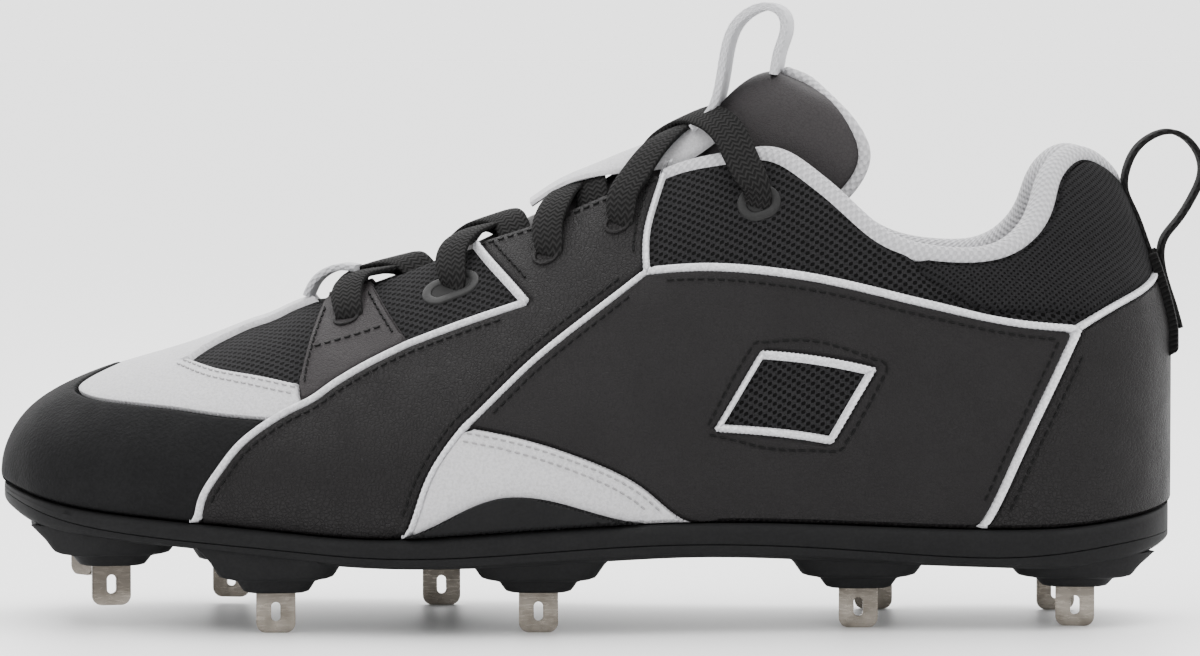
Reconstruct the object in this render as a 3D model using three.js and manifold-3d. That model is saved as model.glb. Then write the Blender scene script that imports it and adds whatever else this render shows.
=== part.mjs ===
// A left baseball cleat with metal spikes, standing unbent on level ground.
// Toe towards -X, heel towards +X, outer side towards -Y, inner side towards +Y, up is +Z.
// Every curved piece is taken from one function of the shoe's last, at its own distance from it.
import * as THREE from 'three';
import { mergeVertices } from 'three/addons/utils/BufferGeometryUtils.js';
import Module from 'manifold-3d';

const wasm = await Module();
wasm.setup();

// Driving dimensions, in millimetres
const LENGTH = 290.75; // upper, from toe tip to heel back
const BALL_WIDTH = 100; // upper, across the ball of the foot
const HEEL_HEIGHT = 93; // from the sole line to the collar's level at the heel
const SOLE_LINE = 26; // height of the line where upper and sole meet
const TOE_SPRING = 8.4; // rise of that line at the toe tip
const HEEL_LEAN = 16.5; // how far the heel's top leans forward
const WALL = 2.2; // wall of the upper
const GAP = 0.3; // between pieces that meet
const OVERLAY = 1.1; // thickness of the leather and suede panels
const PIPING = 1.3; // height of the white piping over the mesh
const PIPING_WIDTH = 2.3;
const PAD = 4; // foam of the collar lining
const PAD_DEPTH = 26; // how far the lining reaches down inside
const PAD_ROLL = 3.6; // how far it rolls up over the collar's edge
const INSOLE = 4;
const LEDGE = 3.4; // how far the sole stands out past the upper's sides
const END_LEDGE = 0.6; // and past its toe and heel
const OUTRIGGER = 8.4; // rise of the sole's side wall at the outer ball
const WRAP_GAP = 0.4; // between that wall and the panels behind it
const TONGUE = 5;
const LACE_WIDTH = 8.4;
const LACE = 1.5;
const LOOP = 1.2; // webbing of the heel loop
const LOOP_WIDTH = 10;
const TONGUE_LOOP = 1.7; // webbing of the tongue loop
const TONGUE_LOOP_WIDTH = 18;
const TONGUE_STRIP = 1.2;
const LACE_SINK = 1; // how far the crossings dip under the upper's level in the throat
const LACE_AXIS = 22; // height over which a strand's face turns outwards
const KEEPER = 1.4; // webbing of the keeper at the throat's front
const KEEPER_WIDTH = 9;
const HOLE = 5; // punched lace hole
const RIM_HOLE = 4; // width of a hole with an eyelet's rim
const RIM = 1.5; // width of an eyelet's rim
const RIM_THICK = 0.8;
const RIM_SEAT = 0.9; // its height over the upper, clear of the surface's curve
const SPIKE_WIDTH = 9.6;
const SPIKE = 1.6; // thickness of the spike's plate
const SPIKE_DROP = 10; // bare length under its stud
const SPIKE_ROOT = 3; // length held in the stud
const SPIKE_ROUND = 2.4; // corner radius of its lower end
const SLOT_WIDTH = 2.1;
const SLOT_HEIGHT = 4.7;
const SLOT_UP = 5.2; // the slot's middle over the spike's lower end

// Fineness of the lofts
const STATIONS = 19;
const RIBS = 5;
const STUD_CORNERS = 8;
const ROUND_STEPS = 2; // in each rounded corner of a spike
const TONGUE_FINE = { rows: 10, columns: 6 };
const STRIP_FINE = { rows: 8, columns: 4 };
const STRAND_STEPS = 5;
const OUTRIGGER_STEPS = 12;

const OUTER = -1;
const INNER = 1;
const BOTH = 0;

// Sections of the last: widths and bulges as shares of the ball width, ridge as share of the heel height
const LAST = {
  columns: ['at', 'ridge', 'outer', 'inner', 'centre', 'bulge', 'rise', 'crown'],
  rows: [
    [0.000, 0.100, 0.000, 0.000, 0.070, 1.16, 0.60, 0.62],
    [0.004, 0.168, 0.095, 0.095, 0.069, 1.16, 0.60, 0.62],
    [0.017, 0.244, 0.200, 0.190, 0.066, 1.16, 0.60, 0.62],
    [0.034, 0.295, 0.275, 0.255, 0.060, 1.16, 0.58, 0.62],
    [0.069, 0.355, 0.355, 0.330, 0.052, 1.16, 0.55, 0.62],
    [0.103, 0.395, 0.400, 0.385, 0.045, 1.16, 0.53, 0.62],
    [0.172, 0.462, 0.452, 0.447, 0.030, 1.16, 0.48, 0.58],
    [0.258, 0.569, 0.483, 0.487, 0.014, 1.16, 0.42, 0.50],
    [0.310, 0.628, 0.497, 0.495, 0.004, 1.16, 0.40, 0.46],
    [0.378, 0.720, 0.512, 0.478, -0.002, 1.15, 0.38, 0.42],
    [0.447, 0.820, 0.505, 0.432, -0.006, 1.14, 0.38, 0.40],
    [0.516, 0.925, 0.470, 0.385, -0.008, 1.12, 0.40, 0.42],
    [0.602, 1.050, 0.420, 0.345, -0.008, 1.10, 0.43, 0.50],
    [0.688, 1.161, 0.378, 0.325, -0.006, 1.10, 0.46, 0.58],
    [0.774, 1.220, 0.357, 0.325, -0.004, 1.10, 0.48, 0.62],
    [0.860, 1.237, 0.346, 0.335, -0.002, 1.12, 0.50, 0.62],
    [0.911, 1.215, 0.325, 0.318, 0.000, 1.12, 0.50, 0.62],
    [0.946, 1.195, 0.280, 0.278, 0.000, 1.12, 0.50, 0.62],
    [0.973, 1.178, 0.212, 0.212, 0.000, 1.12, 0.50, 0.62],
    [0.990, 1.168, 0.128, 0.128, 0.000, 1.12, 0.50, 0.62],
    [1.000, 1.160, 0.000, 0.000, 0.000, 1.12, 0.50, 0.62],
  ],
};

// The sole line's height over SOLE_LINE, and the sole's two lower lines, as shares of the toe spring
// (line) and of SOLE_LINE (seam between midsole and plate, underside of the plate)
const SOLE = {
  columns: ['at', 'line', 'seam', 'under'],
  rows: [
    [0.000, 1.000, 1.270, 1.180],
    [0.017, 0.880, 1.190, 1.040],
    [0.058, 0.550, 1.040, 0.890],
    [0.165, 0.167, 0.880, 0.800],
    [0.251, -0.095, 0.800, 0.690],
    [0.327, -0.260, 0.740, 0.630],
    [0.413, -0.100, 0.760, 0.640],
    [0.516, 0.100, 0.830, 0.690],
    [0.592, 0.167, 0.850, 0.715],
    [0.726, 0.036, 0.780, 0.650],
    [0.850, -0.107, 0.700, 0.590],
    [0.898, -0.083, 0.730, 0.575],
    [0.939, 0.036, 0.790, 0.600],
    [0.980, 0.260, 0.850, 0.700],
    [1.000, 0.540, 0.900, 0.820],
  ],
};

// Seams of one side, as places in the side view: share of LENGTH, share of HEEL_HEIGHT over SOLE_LINE
const TOE_LINE = [[0.104, 0.470], [0.095, 0.385], [0.069, 0.340], [0.075, 0.323], [0.093, 0.314],
  [0.128, 0.307], [0.161, 0.299], [0.192, 0.288], [0.238, 0.274]];
const SADDLE_FRONT = [[0.170, -0.120], [0.175, 0.019], [0.180, 0.067], [0.195, 0.147], [0.212, 0.214],
  [0.239, 0.278], [0.277, 0.346], [0.312, 0.411], [0.353, 0.474], [0.399, 0.528], [0.451, 0.583]];
const THROAT_PIPE = [[0.451, 0.583], [0.430, 0.652], [0.414, 0.703], [0.400, 0.745]];
const SADDLE_REAR = [[0.347, -0.120], [0.350, -0.021], [0.365, 0.095], [0.383, 0.200], [0.408, 0.290],
  [0.448, 0.412], [0.498, 0.537], [0.552, 0.665]];
const COLLAR_PIPE = [[0.552, 0.665], [0.552, 0.761], [0.561, 0.864], [0.572, 0.960]];
const QUARTER_TOP = [[0.552, 0.665], [0.598, 0.676], [0.665, 0.662], [0.733, 0.622], [0.799, 0.572],
  [0.867, 0.528], [0.914, 0.513]];
const COUNTER_FRONT = [[0.914, 0.513], [0.888, 0.341], [0.863, 0.177], [0.839, 0.019], [0.833, -0.120]];
const COUNTER_TOP = [[0.914, 0.513], [0.945, 0.568], [0.979, 0.621], [1.030, 0.670]];
const ARCH_TOP = [[0.400, 0.268], [0.448, 0.239], [0.502, 0.183], [0.552, 0.100], [0.589, 0.015],
  [0.612, -0.120]];
const TAB_FRONT = [[0.284, 0.700], [0.277, 0.568], [0.266, 0.469], [0.259, 0.372], [0.262, 0.320]];
const TAB_REAR = [[0.310, 0.720], [0.317, 0.623], [0.332, 0.562], [0.353, 0.474]];
const WINDOW = [[0.612, 0.262], [0.648, 0.452], [0.742, 0.412], [0.706, 0.222]];
const COLLAR = [[0.566, 0.915], [0.580, 0.932], [0.600, 0.948], [0.632, 0.965],
  [0.650, 0.972], [0.667, 0.960], [0.688, 0.917], [0.708, 0.867], [0.727, 0.813], [0.749, 0.757],
  [0.775, 0.722], [0.811, 0.706], [0.843, 0.711], [0.865, 0.738], [0.883, 0.789], [0.893, 0.850],
  [0.899, 0.912], [0.910, 0.957], [0.922, 0.972], [0.938, 0.957], [0.950, 0.928], [0.985, 0.890]];

// The outer side wall's top edge, and the mesh window beside the toe, in the plan view (share of BALL_WIDTH)
const OUTRIGGER_RUN = { at: 0.437, front: 0.100, back: 0.125 };
const TOE_WINDOW = [[0.164, 0.145], [0.190, 0.235], [0.223, 0.295], [0.255, 0.338], [0.300, 0.375],
  [0.300, 0.050], [0.255, 0.050], [0.212, 0.056], [0.182, 0.090]];
const THROAT = [[0.268, 0.060], [0.277, 0.082], [0.320, 0.085], [0.365, 0.092], [0.414, 0.122],
  [0.460, 0.145], [0.520, 0.150], [0.574, 0.158], [0.640, 0.170]];

// Lace rows on one side: place in the side view, and the hole's length along the throat
const ROWS = [
  { at: 0.299, up: 0.530, long: 6, rim: false },
  { at: 0.386, up: 0.622, long: 10, rim: true },
  { at: 0.467, up: 0.697, long: 6, rim: false },
  { at: 0.527, up: 0.780, long: 6, rim: false },
  { at: 0.647, up: 0.847, long: 6, rim: true },
];

// Where each pair of strands crosses over the tongue: height over the ridge, in share of HEEL_HEIGHT
const CROSSING_LIFT = [0.018, 0.020, 0.012, 0.095];

// A strand's way: share of its run along the shoe, share around the last, share of its crossing's lift
const STRAND = {
  leave: { run: 0.12, around: 0.8, more: 0.4 },
  climb: { run: 0.25, around: 0.86, lift: 0.55 },
  dip: { run: 0.8, around: 0.9 },
};

// Tongue, and the strip sewn on it: centre line, half width, and how far the edges lie back and down
const TONGUE_SHAPE = {
  columns: ['at', 'up', 'wide', 'back', 'down', 'wrap'],
  rows: [
    [0.262, 0.532, 0.130, 0.000, 0.045, 40],
    [0.345, 0.636, 0.200, 0.000, 0.095, 40],
    [0.400, 0.714, 0.215, 0.000, 0.112, 42],
    [0.460, 0.804, 0.210, 0.010, 0.130, 46],
    [0.516, 0.892, 0.190, 0.050, 0.150, 54],
    [0.560, 0.968, 0.165, 0.130, 0.190, 66],
    [0.600, 1.030, 0.150, 0.240, 0.240, 80],
    [0.620, 1.105, 0.170, 0.320, 0.190, 86],
    [0.642, 1.165, 0.180, 0.265, 0.130, 86],
    [0.660, 1.192, 0.140, 0.150, 0.070, 80],
    [0.672, 1.200, 0.070, 0.055, 0.020, 70],
  ],
};
const STRIP_SHAPE = {
  columns: ['at', 'up', 'wide', 'back', 'down', 'wrap'],
  rows: [
    [0.455, 0.842, 0.072, 0.000, 0.012, 40],
    [0.480, 0.893, 0.075, 0.000, 0.013, 40],
    [0.505, 0.927, 0.085, 0.000, 0.020, 45],
    [0.535, 0.966, 0.095, 0.025, 0.042, 55],
    [0.570, 1.012, 0.095, 0.045, 0.060, 62],
    [0.598, 1.068, 0.085, 0.050, 0.055, 62],
  ],
};

// Pull loops, as places in the side view along the middle of the webbing
const TONGUE_LOOP_PATH = [[0.609, 1.082], [0.617, 1.150], [0.621, 1.225], [0.629, 1.310], [0.644, 1.355],
  [0.660, 1.366], [0.671, 1.345], [0.673, 1.300], [0.668, 1.250], [0.666, 1.222]];
const HEEL_LOOP_PATH = [[0.966, 0.935], [0.974, 0.985], [0.988, 1.020], [1.003, 1.031], [1.017, 1.012],
  [1.028, 0.965], [1.030, 0.918], [1.023, 0.860], [1.009, 0.790], [0.997, 0.737]];
const HEEL_LOOP_SEATS = { top: 0.880, bottom: 0.640 };
const HEEL_TAB = { wide: 14, tall: 21, deep: 20, thick: 1, up: 0.530 };
const TOE_KEEPER_PATH = [[0.262, 0.590], [0.268, 0.628], [0.278, 0.655], [0.292, 0.668], [0.304, 0.664]];

// Spikes: place along and across the shoe, height of the lower end, and the turn about the vertical
const SPIKES = [
  { name: 'outer_1', at: 0.098, across: -0.250, lift: 5.5, turn: 12 },
  { name: 'outer_2', at: 0.240, across: -0.380, lift: 0, turn: 4 },
  { name: 'outer_3', at: 0.461, across: -0.370, lift: 0, turn: 0 },
  { name: 'outer_4', at: 0.732, across: -0.250, lift: 0, turn: 0 },
  { name: 'outer_5', at: 0.917, across: -0.210, lift: 0, turn: -6 },
  { name: 'inner_1', at: 0.060, across: 0.250, lift: 8.4, turn: -50 },
  { name: 'inner_2', at: 0.187, across: 0.370, lift: 1.6, turn: -10 },
  { name: 'inner_3', at: 0.373, across: 0.330, lift: 0, turn: 0 },
  { name: 'inner_4', at: 0.752, across: 0.220, lift: 0, turn: 0 },
  { name: 'inner_5', at: 0.911, across: 0.200, lift: 0, turn: 6 },
];

// A stud's steps, from the plate down to the spike: depth share, and its half length and half width
const STUD = {
  columns: ['depth', 'long', 'wide'],
  rows: [
    [0.000, 19.0, 13.0],
    [0.620, 14.0, 10.0],
    [0.700, 12.6, 9.0],
    [0.780, 9.0, 7.4],
    [1.000, 7.6, 6.2],
  ],
};
const STUD_SINK = 3; // how far a stud starts up inside the plate
const STUD_COVER = 0.8; // plate left over it
const STUD_INSIDE = 0.4; // how far inside the sole's side a stud ends
const STUD_INWARD = 1.5; // how far a stud's middle lies inward of its spike
const STUD_ROUND = 0.6; // power that makes the oval studs squarer

// A place inside each panel of one side or of both, in the side view
const PANEL_PLACES = {
  toe_guard: [0.10, 0.15],
  vamp_overlay: [0.13, 0.34],
  heel_counter: [0.93, 0.20],
  eyelet_tab: [0.31, 0.48],
  saddle: [0.40, 0.45],
  quarter: [0.78, 0.35],
  arch_wedge: [0.45, 0.14],
};

// A smooth curve through the values of a table's column
function curveThrough(xs, ys) {
  const bend = xs.map(() => 0);
  const fall = xs.map(() => 0);
  const load = xs.map(() => 0);
  for (let i = 1; i < xs.length - 1; i += 1) {
    const before = xs[i] - xs[i - 1];
    const after = xs[i + 1] - xs[i];
    const turn = 6 * ((ys[i + 1] - ys[i]) / after - (ys[i] - ys[i - 1]) / before);
    const pivot = 2 * (before + after) - before * fall[i - 1];
    fall[i] = after / pivot;
    load[i] = (turn - before * load[i - 1]) / pivot;
  }
  for (let i = xs.length - 2; i > 0; i -= 1) {
    bend[i] = load[i] - fall[i] * bend[i + 1];
  }
  return (where) => {
    const x = THREE.MathUtils.clamp(where, xs[0], xs[xs.length - 1]);
    let i = 0;
    while (i < xs.length - 2 && x > xs[i + 1]) {
      i += 1;
    }
    const run = xs[i + 1] - xs[i];
    const left = xs[i + 1] - x;
    const right = x - xs[i];
    return (bend[i] * left ** 3 + bend[i + 1] * right ** 3) / (6 * run)
      + (ys[i] / run - bend[i] * run / 6) * left
      + (ys[i + 1] / run - bend[i + 1] * run / 6) * right;
  };
}

// Each column of a table as a curve over its first column, which map may stretch
function readTable(table, map = (value) => value) {
  const keys = table.rows.map((row) => map(row[0]));
  const curves = {};
  table.columns.slice(1).forEach((name, k) => {
    curves[name] = curveThrough(keys, table.rows.map((row) => row[k + 1]));
  });
  return curves;
}

// Stations run evenly over half a turn, so they crowd at the round toe and heel
const stationOf = (share) => Math.acos(THREE.MathUtils.clamp(1 - 2 * share, -1, 1)) / Math.PI;
const shareOf = (station) => (1 - Math.cos(Math.PI * station)) / 2;

const last = readTable(LAST, stationOf);
const sole = readTable(SOLE, stationOf);

const FOOT = 0.95; // half width at the sole line, as share of the section's half width
const END_EASE = 10; // half width under which an offset fades out towards toe and heel
const LEAST_SHRINK = 0.1;
const LEAST_RISE = 0.5;
const LEAN_FROM = 0.688 * LENGTH;
const LEAN_ABOVE = 0.5; // share of the heel height from which the heel leans
const LEAN_POWER = 1.3;

const soleLine = (station) => SOLE_LINE + TOE_SPRING * sole.line(station);

function heelLean(x, z) {
  const high = Math.max(0, (z - SOLE_LINE) / HEEL_HEIGHT - LEAN_ABOVE) / (1 - LEAN_ABOVE);
  return HEEL_LEAN * high ** LEAN_POWER * THREE.MathUtils.smoothstep(x, LEAN_FROM, LENGTH);
}

// A point on the last: around runs from 0 at the sole line to 1 on the ridge of one side
function onLast(station, around, side, outset = 0) {
  const half = (side === OUTER ? last.outer(station) : last.inner(station)) * BALL_WIDTH;
  const reach = half * Math.max(LEAST_SHRINK, 1 + outset / Math.max(half, END_EASE));
  const low = soleLine(station);
  const top = Math.max(low + LEAST_RISE, SOLE_LINE + HEEL_HEIGHT * last.ridge(station) + outset);
  const a = (1 - around) ** 3;
  const b = 3 * around * (1 - around) ** 2;
  const c = 3 * around ** 2 * (1 - around);
  const wide = reach * (FOOT * a + last.bulge(station) * b + last.crown(station) * c);
  const z = low * a + (low + (top - low) * last.rise(station)) * b + top * (c + around ** 3);
  const x = (LENGTH + 2 * outset) * shareOf(station) - outset;
  return new THREE.Vector3(x - heelLean(x, z), last.centre(station) * BALL_WIDTH + side * wide, z);
}

// The station and the share around of a place given in the side view
function findOnLast(at, up, side) {
  const x = at * LENGTH;
  const z = SOLE_LINE + up * HEEL_HEIGHT;
  let station = stationOf(at);
  let around = 0.5;
  for (let round = 0; round < 4; round += 1) {
    let low = 0;
    let high = 1;
    for (let step = 0; step < 24; step += 1) {
      around = (low + high) / 2;
      if (onLast(station, around, side).z < z) {
        low = around;
      } else {
        high = around;
      }
    }
    const miss = x - onLast(station, around, side).x;
    station = stationOf(shareOf(station) + miss / LENGTH);
  }
  return { station, around };
}

// Closed solids
const WELD = 1e-4;
const FLATNESS = 0.12; // faces flatter than this against each other are merged

function solid(geometry) {
  const bare = new THREE.BufferGeometry();
  bare.setAttribute('position', geometry.getAttribute('position'));
  bare.setIndex(geometry.getIndex());
  const merged = mergeVertices(bare, WELD);
  const corners = merged.getIndex().array;
  const kept = [];
  for (let i = 0; i < corners.length; i += 3) {
    const [a, b, c] = corners.slice(i, i + 3);
    if (a !== b && b !== c && c !== a) {
      kept.push(a, b, c);
    }
  }
  return new wasm.Manifold(new wasm.Mesh({
    numProp: 3,
    vertProperties: new Float32Array(merged.getAttribute('position').array),
    triVerts: new Uint32Array(kept),
  }));
}

// A loft through rings of points; seen along the loft each ring runs anticlockwise
function loft(rings, capped = true) {
  const count = rings[0].length;
  const points = rings.flat();
  const corners = [];
  for (let i = 0; i < rings.length - 1; i += 1) {
    for (let k = 0; k < count; k += 1) {
      const next = (k + 1) % count;
      const [a, b] = [i * count + k, (i + 1) * count + k];
      const [c, d] = [(i + 1) * count + next, i * count + next];
      corners.push(a, b, c, a, c, d);
    }
  }
  if (capped) {
    const end = (rings.length - 1) * count;
    const middles = [rings[0], rings[rings.length - 1]].map((ring) => ring
      .reduce((sum, point) => sum.add(point), new THREE.Vector3()).divideScalar(count));
    points.push(...middles);
    for (let k = 0; k < count; k += 1) {
      const next = (k + 1) % count;
      corners.push(points.length - 2, k, next, points.length - 1, end + next, end + k);
    }
  }
  const geometry = new THREE.BufferGeometry().setFromPoints(points);
  geometry.setIndex(corners);
  return solid(geometry);
}

// The last's whole form at a distance from it, lengthened downwards by drop
function lastForm(outset, drop = 0) {
  const rings = [];
  for (let i = 0; i <= STATIONS; i += 1) {
    const station = i / STATIONS;
    const ring = [];
    for (let k = 0; k <= RIBS; k += 1) {
      ring.push(onLast(station, k / RIBS, OUTER, outset));
    }
    for (let k = RIBS - 1; k >= 0; k -= 1) {
      ring.push(onLast(station, k / RIBS, INNER, outset));
    }
    const lower = new THREE.Vector3(0, 0, -drop);
    ring.unshift(ring[0].clone().add(lower));
    ring.push(ring[ring.length - 1].clone().add(lower));
    rings.push(ring);
  }
  return loft(rings, false);
}

const OPEN_DROP = 8; // how far an inner form runs down, so that a shell is open underneath
const TRIM_DROP = 2; // how far a shell runs down, to be trimmed by the sole

// The layer between two distances from the last
const layer = (inside, outside) => lastForm(outside, TRIM_DROP).subtract(lastForm(inside, OPEN_DROP));

// Keeps the one body of a cut and leaves its shavings
function mainBody(body) {
  const bodies = body.decompose();
  return bodies.reduce((best, each) => (each.volume() > best.volume() ? each : best));
}

// Outlines, in the side view or the plan view
const inSideView = (line) => line.map(([at, up]) => (
  new THREE.Vector2(at * LENGTH, SOLE_LINE + up * HEEL_HEIGHT)));
const inPlan = (line, side) => line.map(([at, across]) => (
  new THREE.Vector2(at * LENGTH, side * across * BALL_WIDTH)));
const rounded = (line) => new THREE.SplineCurve(line).getPoints(2 * (line.length - 1));

// A line moved sideways, to its left for a positive distance
function besides(line, distance) {
  return line.map((point, i) => {
    const before = line[Math.max(0, i - 1)];
    const after = line[Math.min(line.length - 1, i + 1)];
    const along = after.clone().sub(before).normalize();
    return new THREE.Vector2(point.x - along.y * distance, point.y + along.x * distance);
  });
}

// A strip that follows a line of the side view, between two places across the shoe
function strip(line, half, from, to) {
  const left = besides(line, half);
  const right = besides(line, -half);
  return loft(line.map((_, i) => (
    [[left[i], from], [left[i], to], [right[i], to], [right[i], from]].map(([place, across]) => (
      new THREE.Vector3(place.x, across, place.y))))));
}

// Webbing along a line of the side view, laid across the shoe's middle
const webbing = (line, thick, wide) => strip(rounded(line), thick / 2, -wide / 2, wide / 2);

// A strip through one side of the shoe
const sideStrip = (line, half, side) => (
  side === OUTER ? strip(line, half, -BALL_WIDTH, 0) : strip(line, half, 0, BALL_WIDTH));

function extruded(outline, depth) {
  const shape = new THREE.Shape(outline);
  return new THREE.ExtrudeGeometry(shape, { depth, bevelEnabled: false, steps: 1 });
}

// Everything within an outline of the side view, on the outer side, the inner side or both
function sideCut(outline, side) {
  const depth = side === BOTH ? 2 * BALL_WIDTH : BALL_WIDTH;
  const geometry = extruded(outline, depth).rotateX(Math.PI / 2);
  return solid(geometry.translate(0, side === OUTER ? 0 : BALL_WIDTH, 0));
}

// Everything within an outline of the plan view
function planCut(outline) {
  return solid(extruded(outline, 3 * HEEL_HEIGHT));
}

// The throat, as a slot in the plan view, wider by more on each side
function throatCut(more = 0) {
  const edge = (side) => THROAT.map(([at, across]) => (
    new THREE.Vector2(at * LENGTH - more * (at === THROAT[0][0]), side * (across * BALL_WIDTH + more))));
  return planCut([...edge(OUTER), ...edge(INNER).reverse()]);
}

// Everything above the collar's edge, moved out by rise and down by drop
function collarCut(rise = 0, drop = 0) {
  const edge = besides(inSideView(COLLAR), rise).map(({ x, y }) => new THREE.Vector2(x, y - drop));
  const above = SOLE_LINE + 2 * HEEL_HEIGHT;
  const behind = 1.1 * LENGTH;
  const outline = [...edge, new THREE.Vector2(behind, edge[edge.length - 1].y),
    new THREE.Vector2(behind, above), new THREE.Vector2(edge[0].x, above)];
  return sideCut(outline, BOTH);
}

const NEAR = 0.01; // step over which a direction is measured

// A frame on the upper's surface at a lace row: Z points out of the shoe, X runs along the throat
function rowFrame(row, side, outset) {
  const { station, around } = findOnLast(row.at, row.up, side);
  const place = onLast(station, around, side, outset);
  const along = onLast(station + NEAR, around, side).sub(onLast(station - NEAR, around, side)).normalize();
  const up = onLast(station, around + NEAR, side).sub(onLast(station, around - NEAR, side));
  const out = new THREE.Vector3().crossVectors(along, up).normalize();
  if (out.y * side < 0) {
    out.negate();
  }
  const across = new THREE.Vector3().crossVectors(out, along).normalize();
  return new THREE.Matrix4().makeBasis(along, across, out).setPosition(place);
}

// A rounded slot outline, long by wide, around the origin
function slotShape(long, wide, arc = 3) {
  const half = wide / 2;
  const straight = Math.max(0, long / 2 - half);
  const outline = [];
  [1, -1].forEach((end) => {
    for (let k = 0; k <= arc; k += 1) {
      const angle = Math.PI * (k / arc - 0.5) + (end < 0 ? Math.PI : 0);
      outline.push(new THREE.Vector2(end * straight + half * Math.cos(angle), half * Math.sin(angle)));
    }
  });
  return outline;
}

const HOLE_REACH = 14;

function rowHole(row, side) {
  const outline = slotShape(row.long, row.rim ? RIM_HOLE : HOLE);
  const geometry = extruded(outline, HOLE_REACH).translate(0, 0, -HOLE_REACH / 2);
  return solid(geometry.applyMatrix4(rowFrame(row, side, 0)));
}

const allHoles = [OUTER, INNER].flatMap((side) => ROWS.map((row) => rowHole(row, side)));
const punched = (body) => allHoles.reduce((rest, hole) => rest.subtract(hole), body);

// Colours and finish
const finish = (color, roughness, metalness = 0) => (
  new THREE.MeshStandardMaterial({ color, roughness, metalness }));
const BLACK_MESH = finish(0x151517, 0.85);
const BLACK_LEATHER = finish(0x2a2829, 0.55);
const BLACK_RUBBER = finish(0x1a1a1b, 0.6);
const GREY_LEATHER = finish(0x4b4748, 0.6);
const WHITE_SUEDE = finish(0xdcdbde, 0.9);
const WHITE_PIPING = finish(0xe2e2e5, 0.5);
const PALE_KNIT = finish(0xd6d5d8, 0.95);
const BLACK_CORD = finish(0x222022, 0.85);
const GREY_RIM = finish(0x7d7b7e, 0.5);
const STEEL = finish(0xb9b2a8, 0.35, 1);

const shoe = new THREE.Group();

function addPiece(name, body, material) {
  const { vertProperties, triVerts } = mainBody(body.simplify(FLATNESS)).getMesh();
  const geometry = new THREE.BufferGeometry();
  geometry.setAttribute('position', new THREE.BufferAttribute(new Float32Array(vertProperties), 3));
  geometry.setIndex(new THREE.BufferAttribute(new Uint32Array(triVerts), 1));
  geometry.computeVertexNormals();
  const mesh = new THREE.Mesh(geometry, material.clone());
  mesh.name = name;
  shoe.add(mesh);
}

// Insole, midsole and outsole plate share one plan, taken from the foot of the last
function solePlan(station, side, outset) {
  const endwise = Math.min(outset, END_LEDGE);
  return new THREE.Vector2(onLast(station, 0, side, endwise).x, onLast(station, 0, side, outset).y);
}

// A slab that follows the sole: levels give its outset and height at a station, from the top down
function soleSlab(levels) {
  const rings = [];
  for (let i = 0; i <= STATIONS; i += 1) {
    const station = i / STATIONS;
    const ring = [];
    const rows = levels(station);
    [...rows].reverse().forEach(([outset, z]) => {
      const { x, y } = solePlan(station, OUTER, outset);
      ring.push(new THREE.Vector3(x, y, z));
    });
    rows.forEach(([outset, z]) => {
      const { x, y } = solePlan(station, INNER, outset);
      ring.push(new THREE.Vector3(x, y, z));
    });
    rings.push(ring);
  }
  return loft(rings, false);
}

const seamHeight = (station) => SOLE_LINE * sole.seam(station);
const underHeight = (station) => SOLE_LINE * sole.under(station);
const footbed = (station) => soleLine(station) - GAP;

// The room that the sole takes, up to a gap over its footbed
const SOLE_MARGIN = 9;
const soleSpace = soleSlab((station) => [
  [LEDGE + SOLE_MARGIN, footbed(station) + GAP],
  [LEDGE + SOLE_MARGIN, 0],
]);

// Upper
const collarOpening = collarCut();
const throat = throatCut();
const upper = layer(-WALL, 0).subtract(collarOpening).subtract(throat);
addPiece('upper', punched(upper).subtract(soleSpace), BLACK_MESH);

const insoleInset = -(WALL + GAP);
const insole = soleSlab((station) => [
  [insoleInset, soleLine(station) + INSOLE],
  [insoleInset, soleLine(station)],
]).intersect(lastForm(insoleInset, INSOLE));
addPiece('insole', insole, finish(0x2b2b2d, 0.9));

const wrapInside = GAP + PIPING + WRAP_GAP;
function outriggerEdge() {
  const edge = [];
  for (let i = 0; i <= OUTRIGGER_STEPS; i += 1) {
    const turn = (2 * i) / OUTRIGGER_STEPS - 1;
    const reach = turn < 0 ? OUTRIGGER_RUN.front : OUTRIGGER_RUN.back;
    const at = OUTRIGGER_RUN.at + turn * reach;
    const rise = OUTRIGGER * 0.5 * (1 + Math.cos(Math.PI * turn));
    edge.push(new THREE.Vector2(at * LENGTH, footbed(stationOf(at)) + rise));
  }
  return edge;
}
const WRAP_SINK = 3;
const wrapEdge = outriggerEdge();
const wrapOutline = [...wrapEdge,
  ...wrapEdge.map(({ x }) => new THREE.Vector2(x, footbed(stationOf(x / LENGTH)) - WRAP_SINK)).reverse()];
const outrigger = lastForm(LEDGE, WRAP_SINK).subtract(lastForm(wrapInside, OPEN_DROP))
  .intersect(sideCut(wrapOutline, OUTER));
const midsole = soleSlab((station) => [
  [LEDGE, footbed(station)],
  [LEDGE, seamHeight(station)],
]).add(outrigger);
addPiece('midsole', midsole, BLACK_RUBBER);

// Outsole plate, with a stepped stud around the root of each spike
const UNDER_INSET = 0.5; // the plate's underside ends this far inside the upper's foot
const plate = soleSlab((station) => {
  const top = seamHeight(station) - GAP;
  const low = underHeight(station);
  return [[LEDGE, top], [LEDGE, (top + low) / 2], [-UNDER_INSET, low]];
});

function studRing(long, wide, z) {
  const corners = [];
  for (let k = 0; k < STUD_CORNERS; k += 1) {
    const angle = (2 * Math.PI * k) / STUD_CORNERS;
    const [c, s] = [Math.cos(angle), Math.sin(angle)];
    corners.push(new THREE.Vector3(long * Math.sign(c) * Math.abs(c) ** STUD_ROUND,
      wide * Math.sign(s) * Math.abs(s) ** STUD_ROUND, z));
  }
  return corners;
}

function spikePlace(spike) {
  return new THREE.Vector3(spike.at * LENGTH, spike.across * BALL_WIDTH, spike.lift);
}

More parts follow.
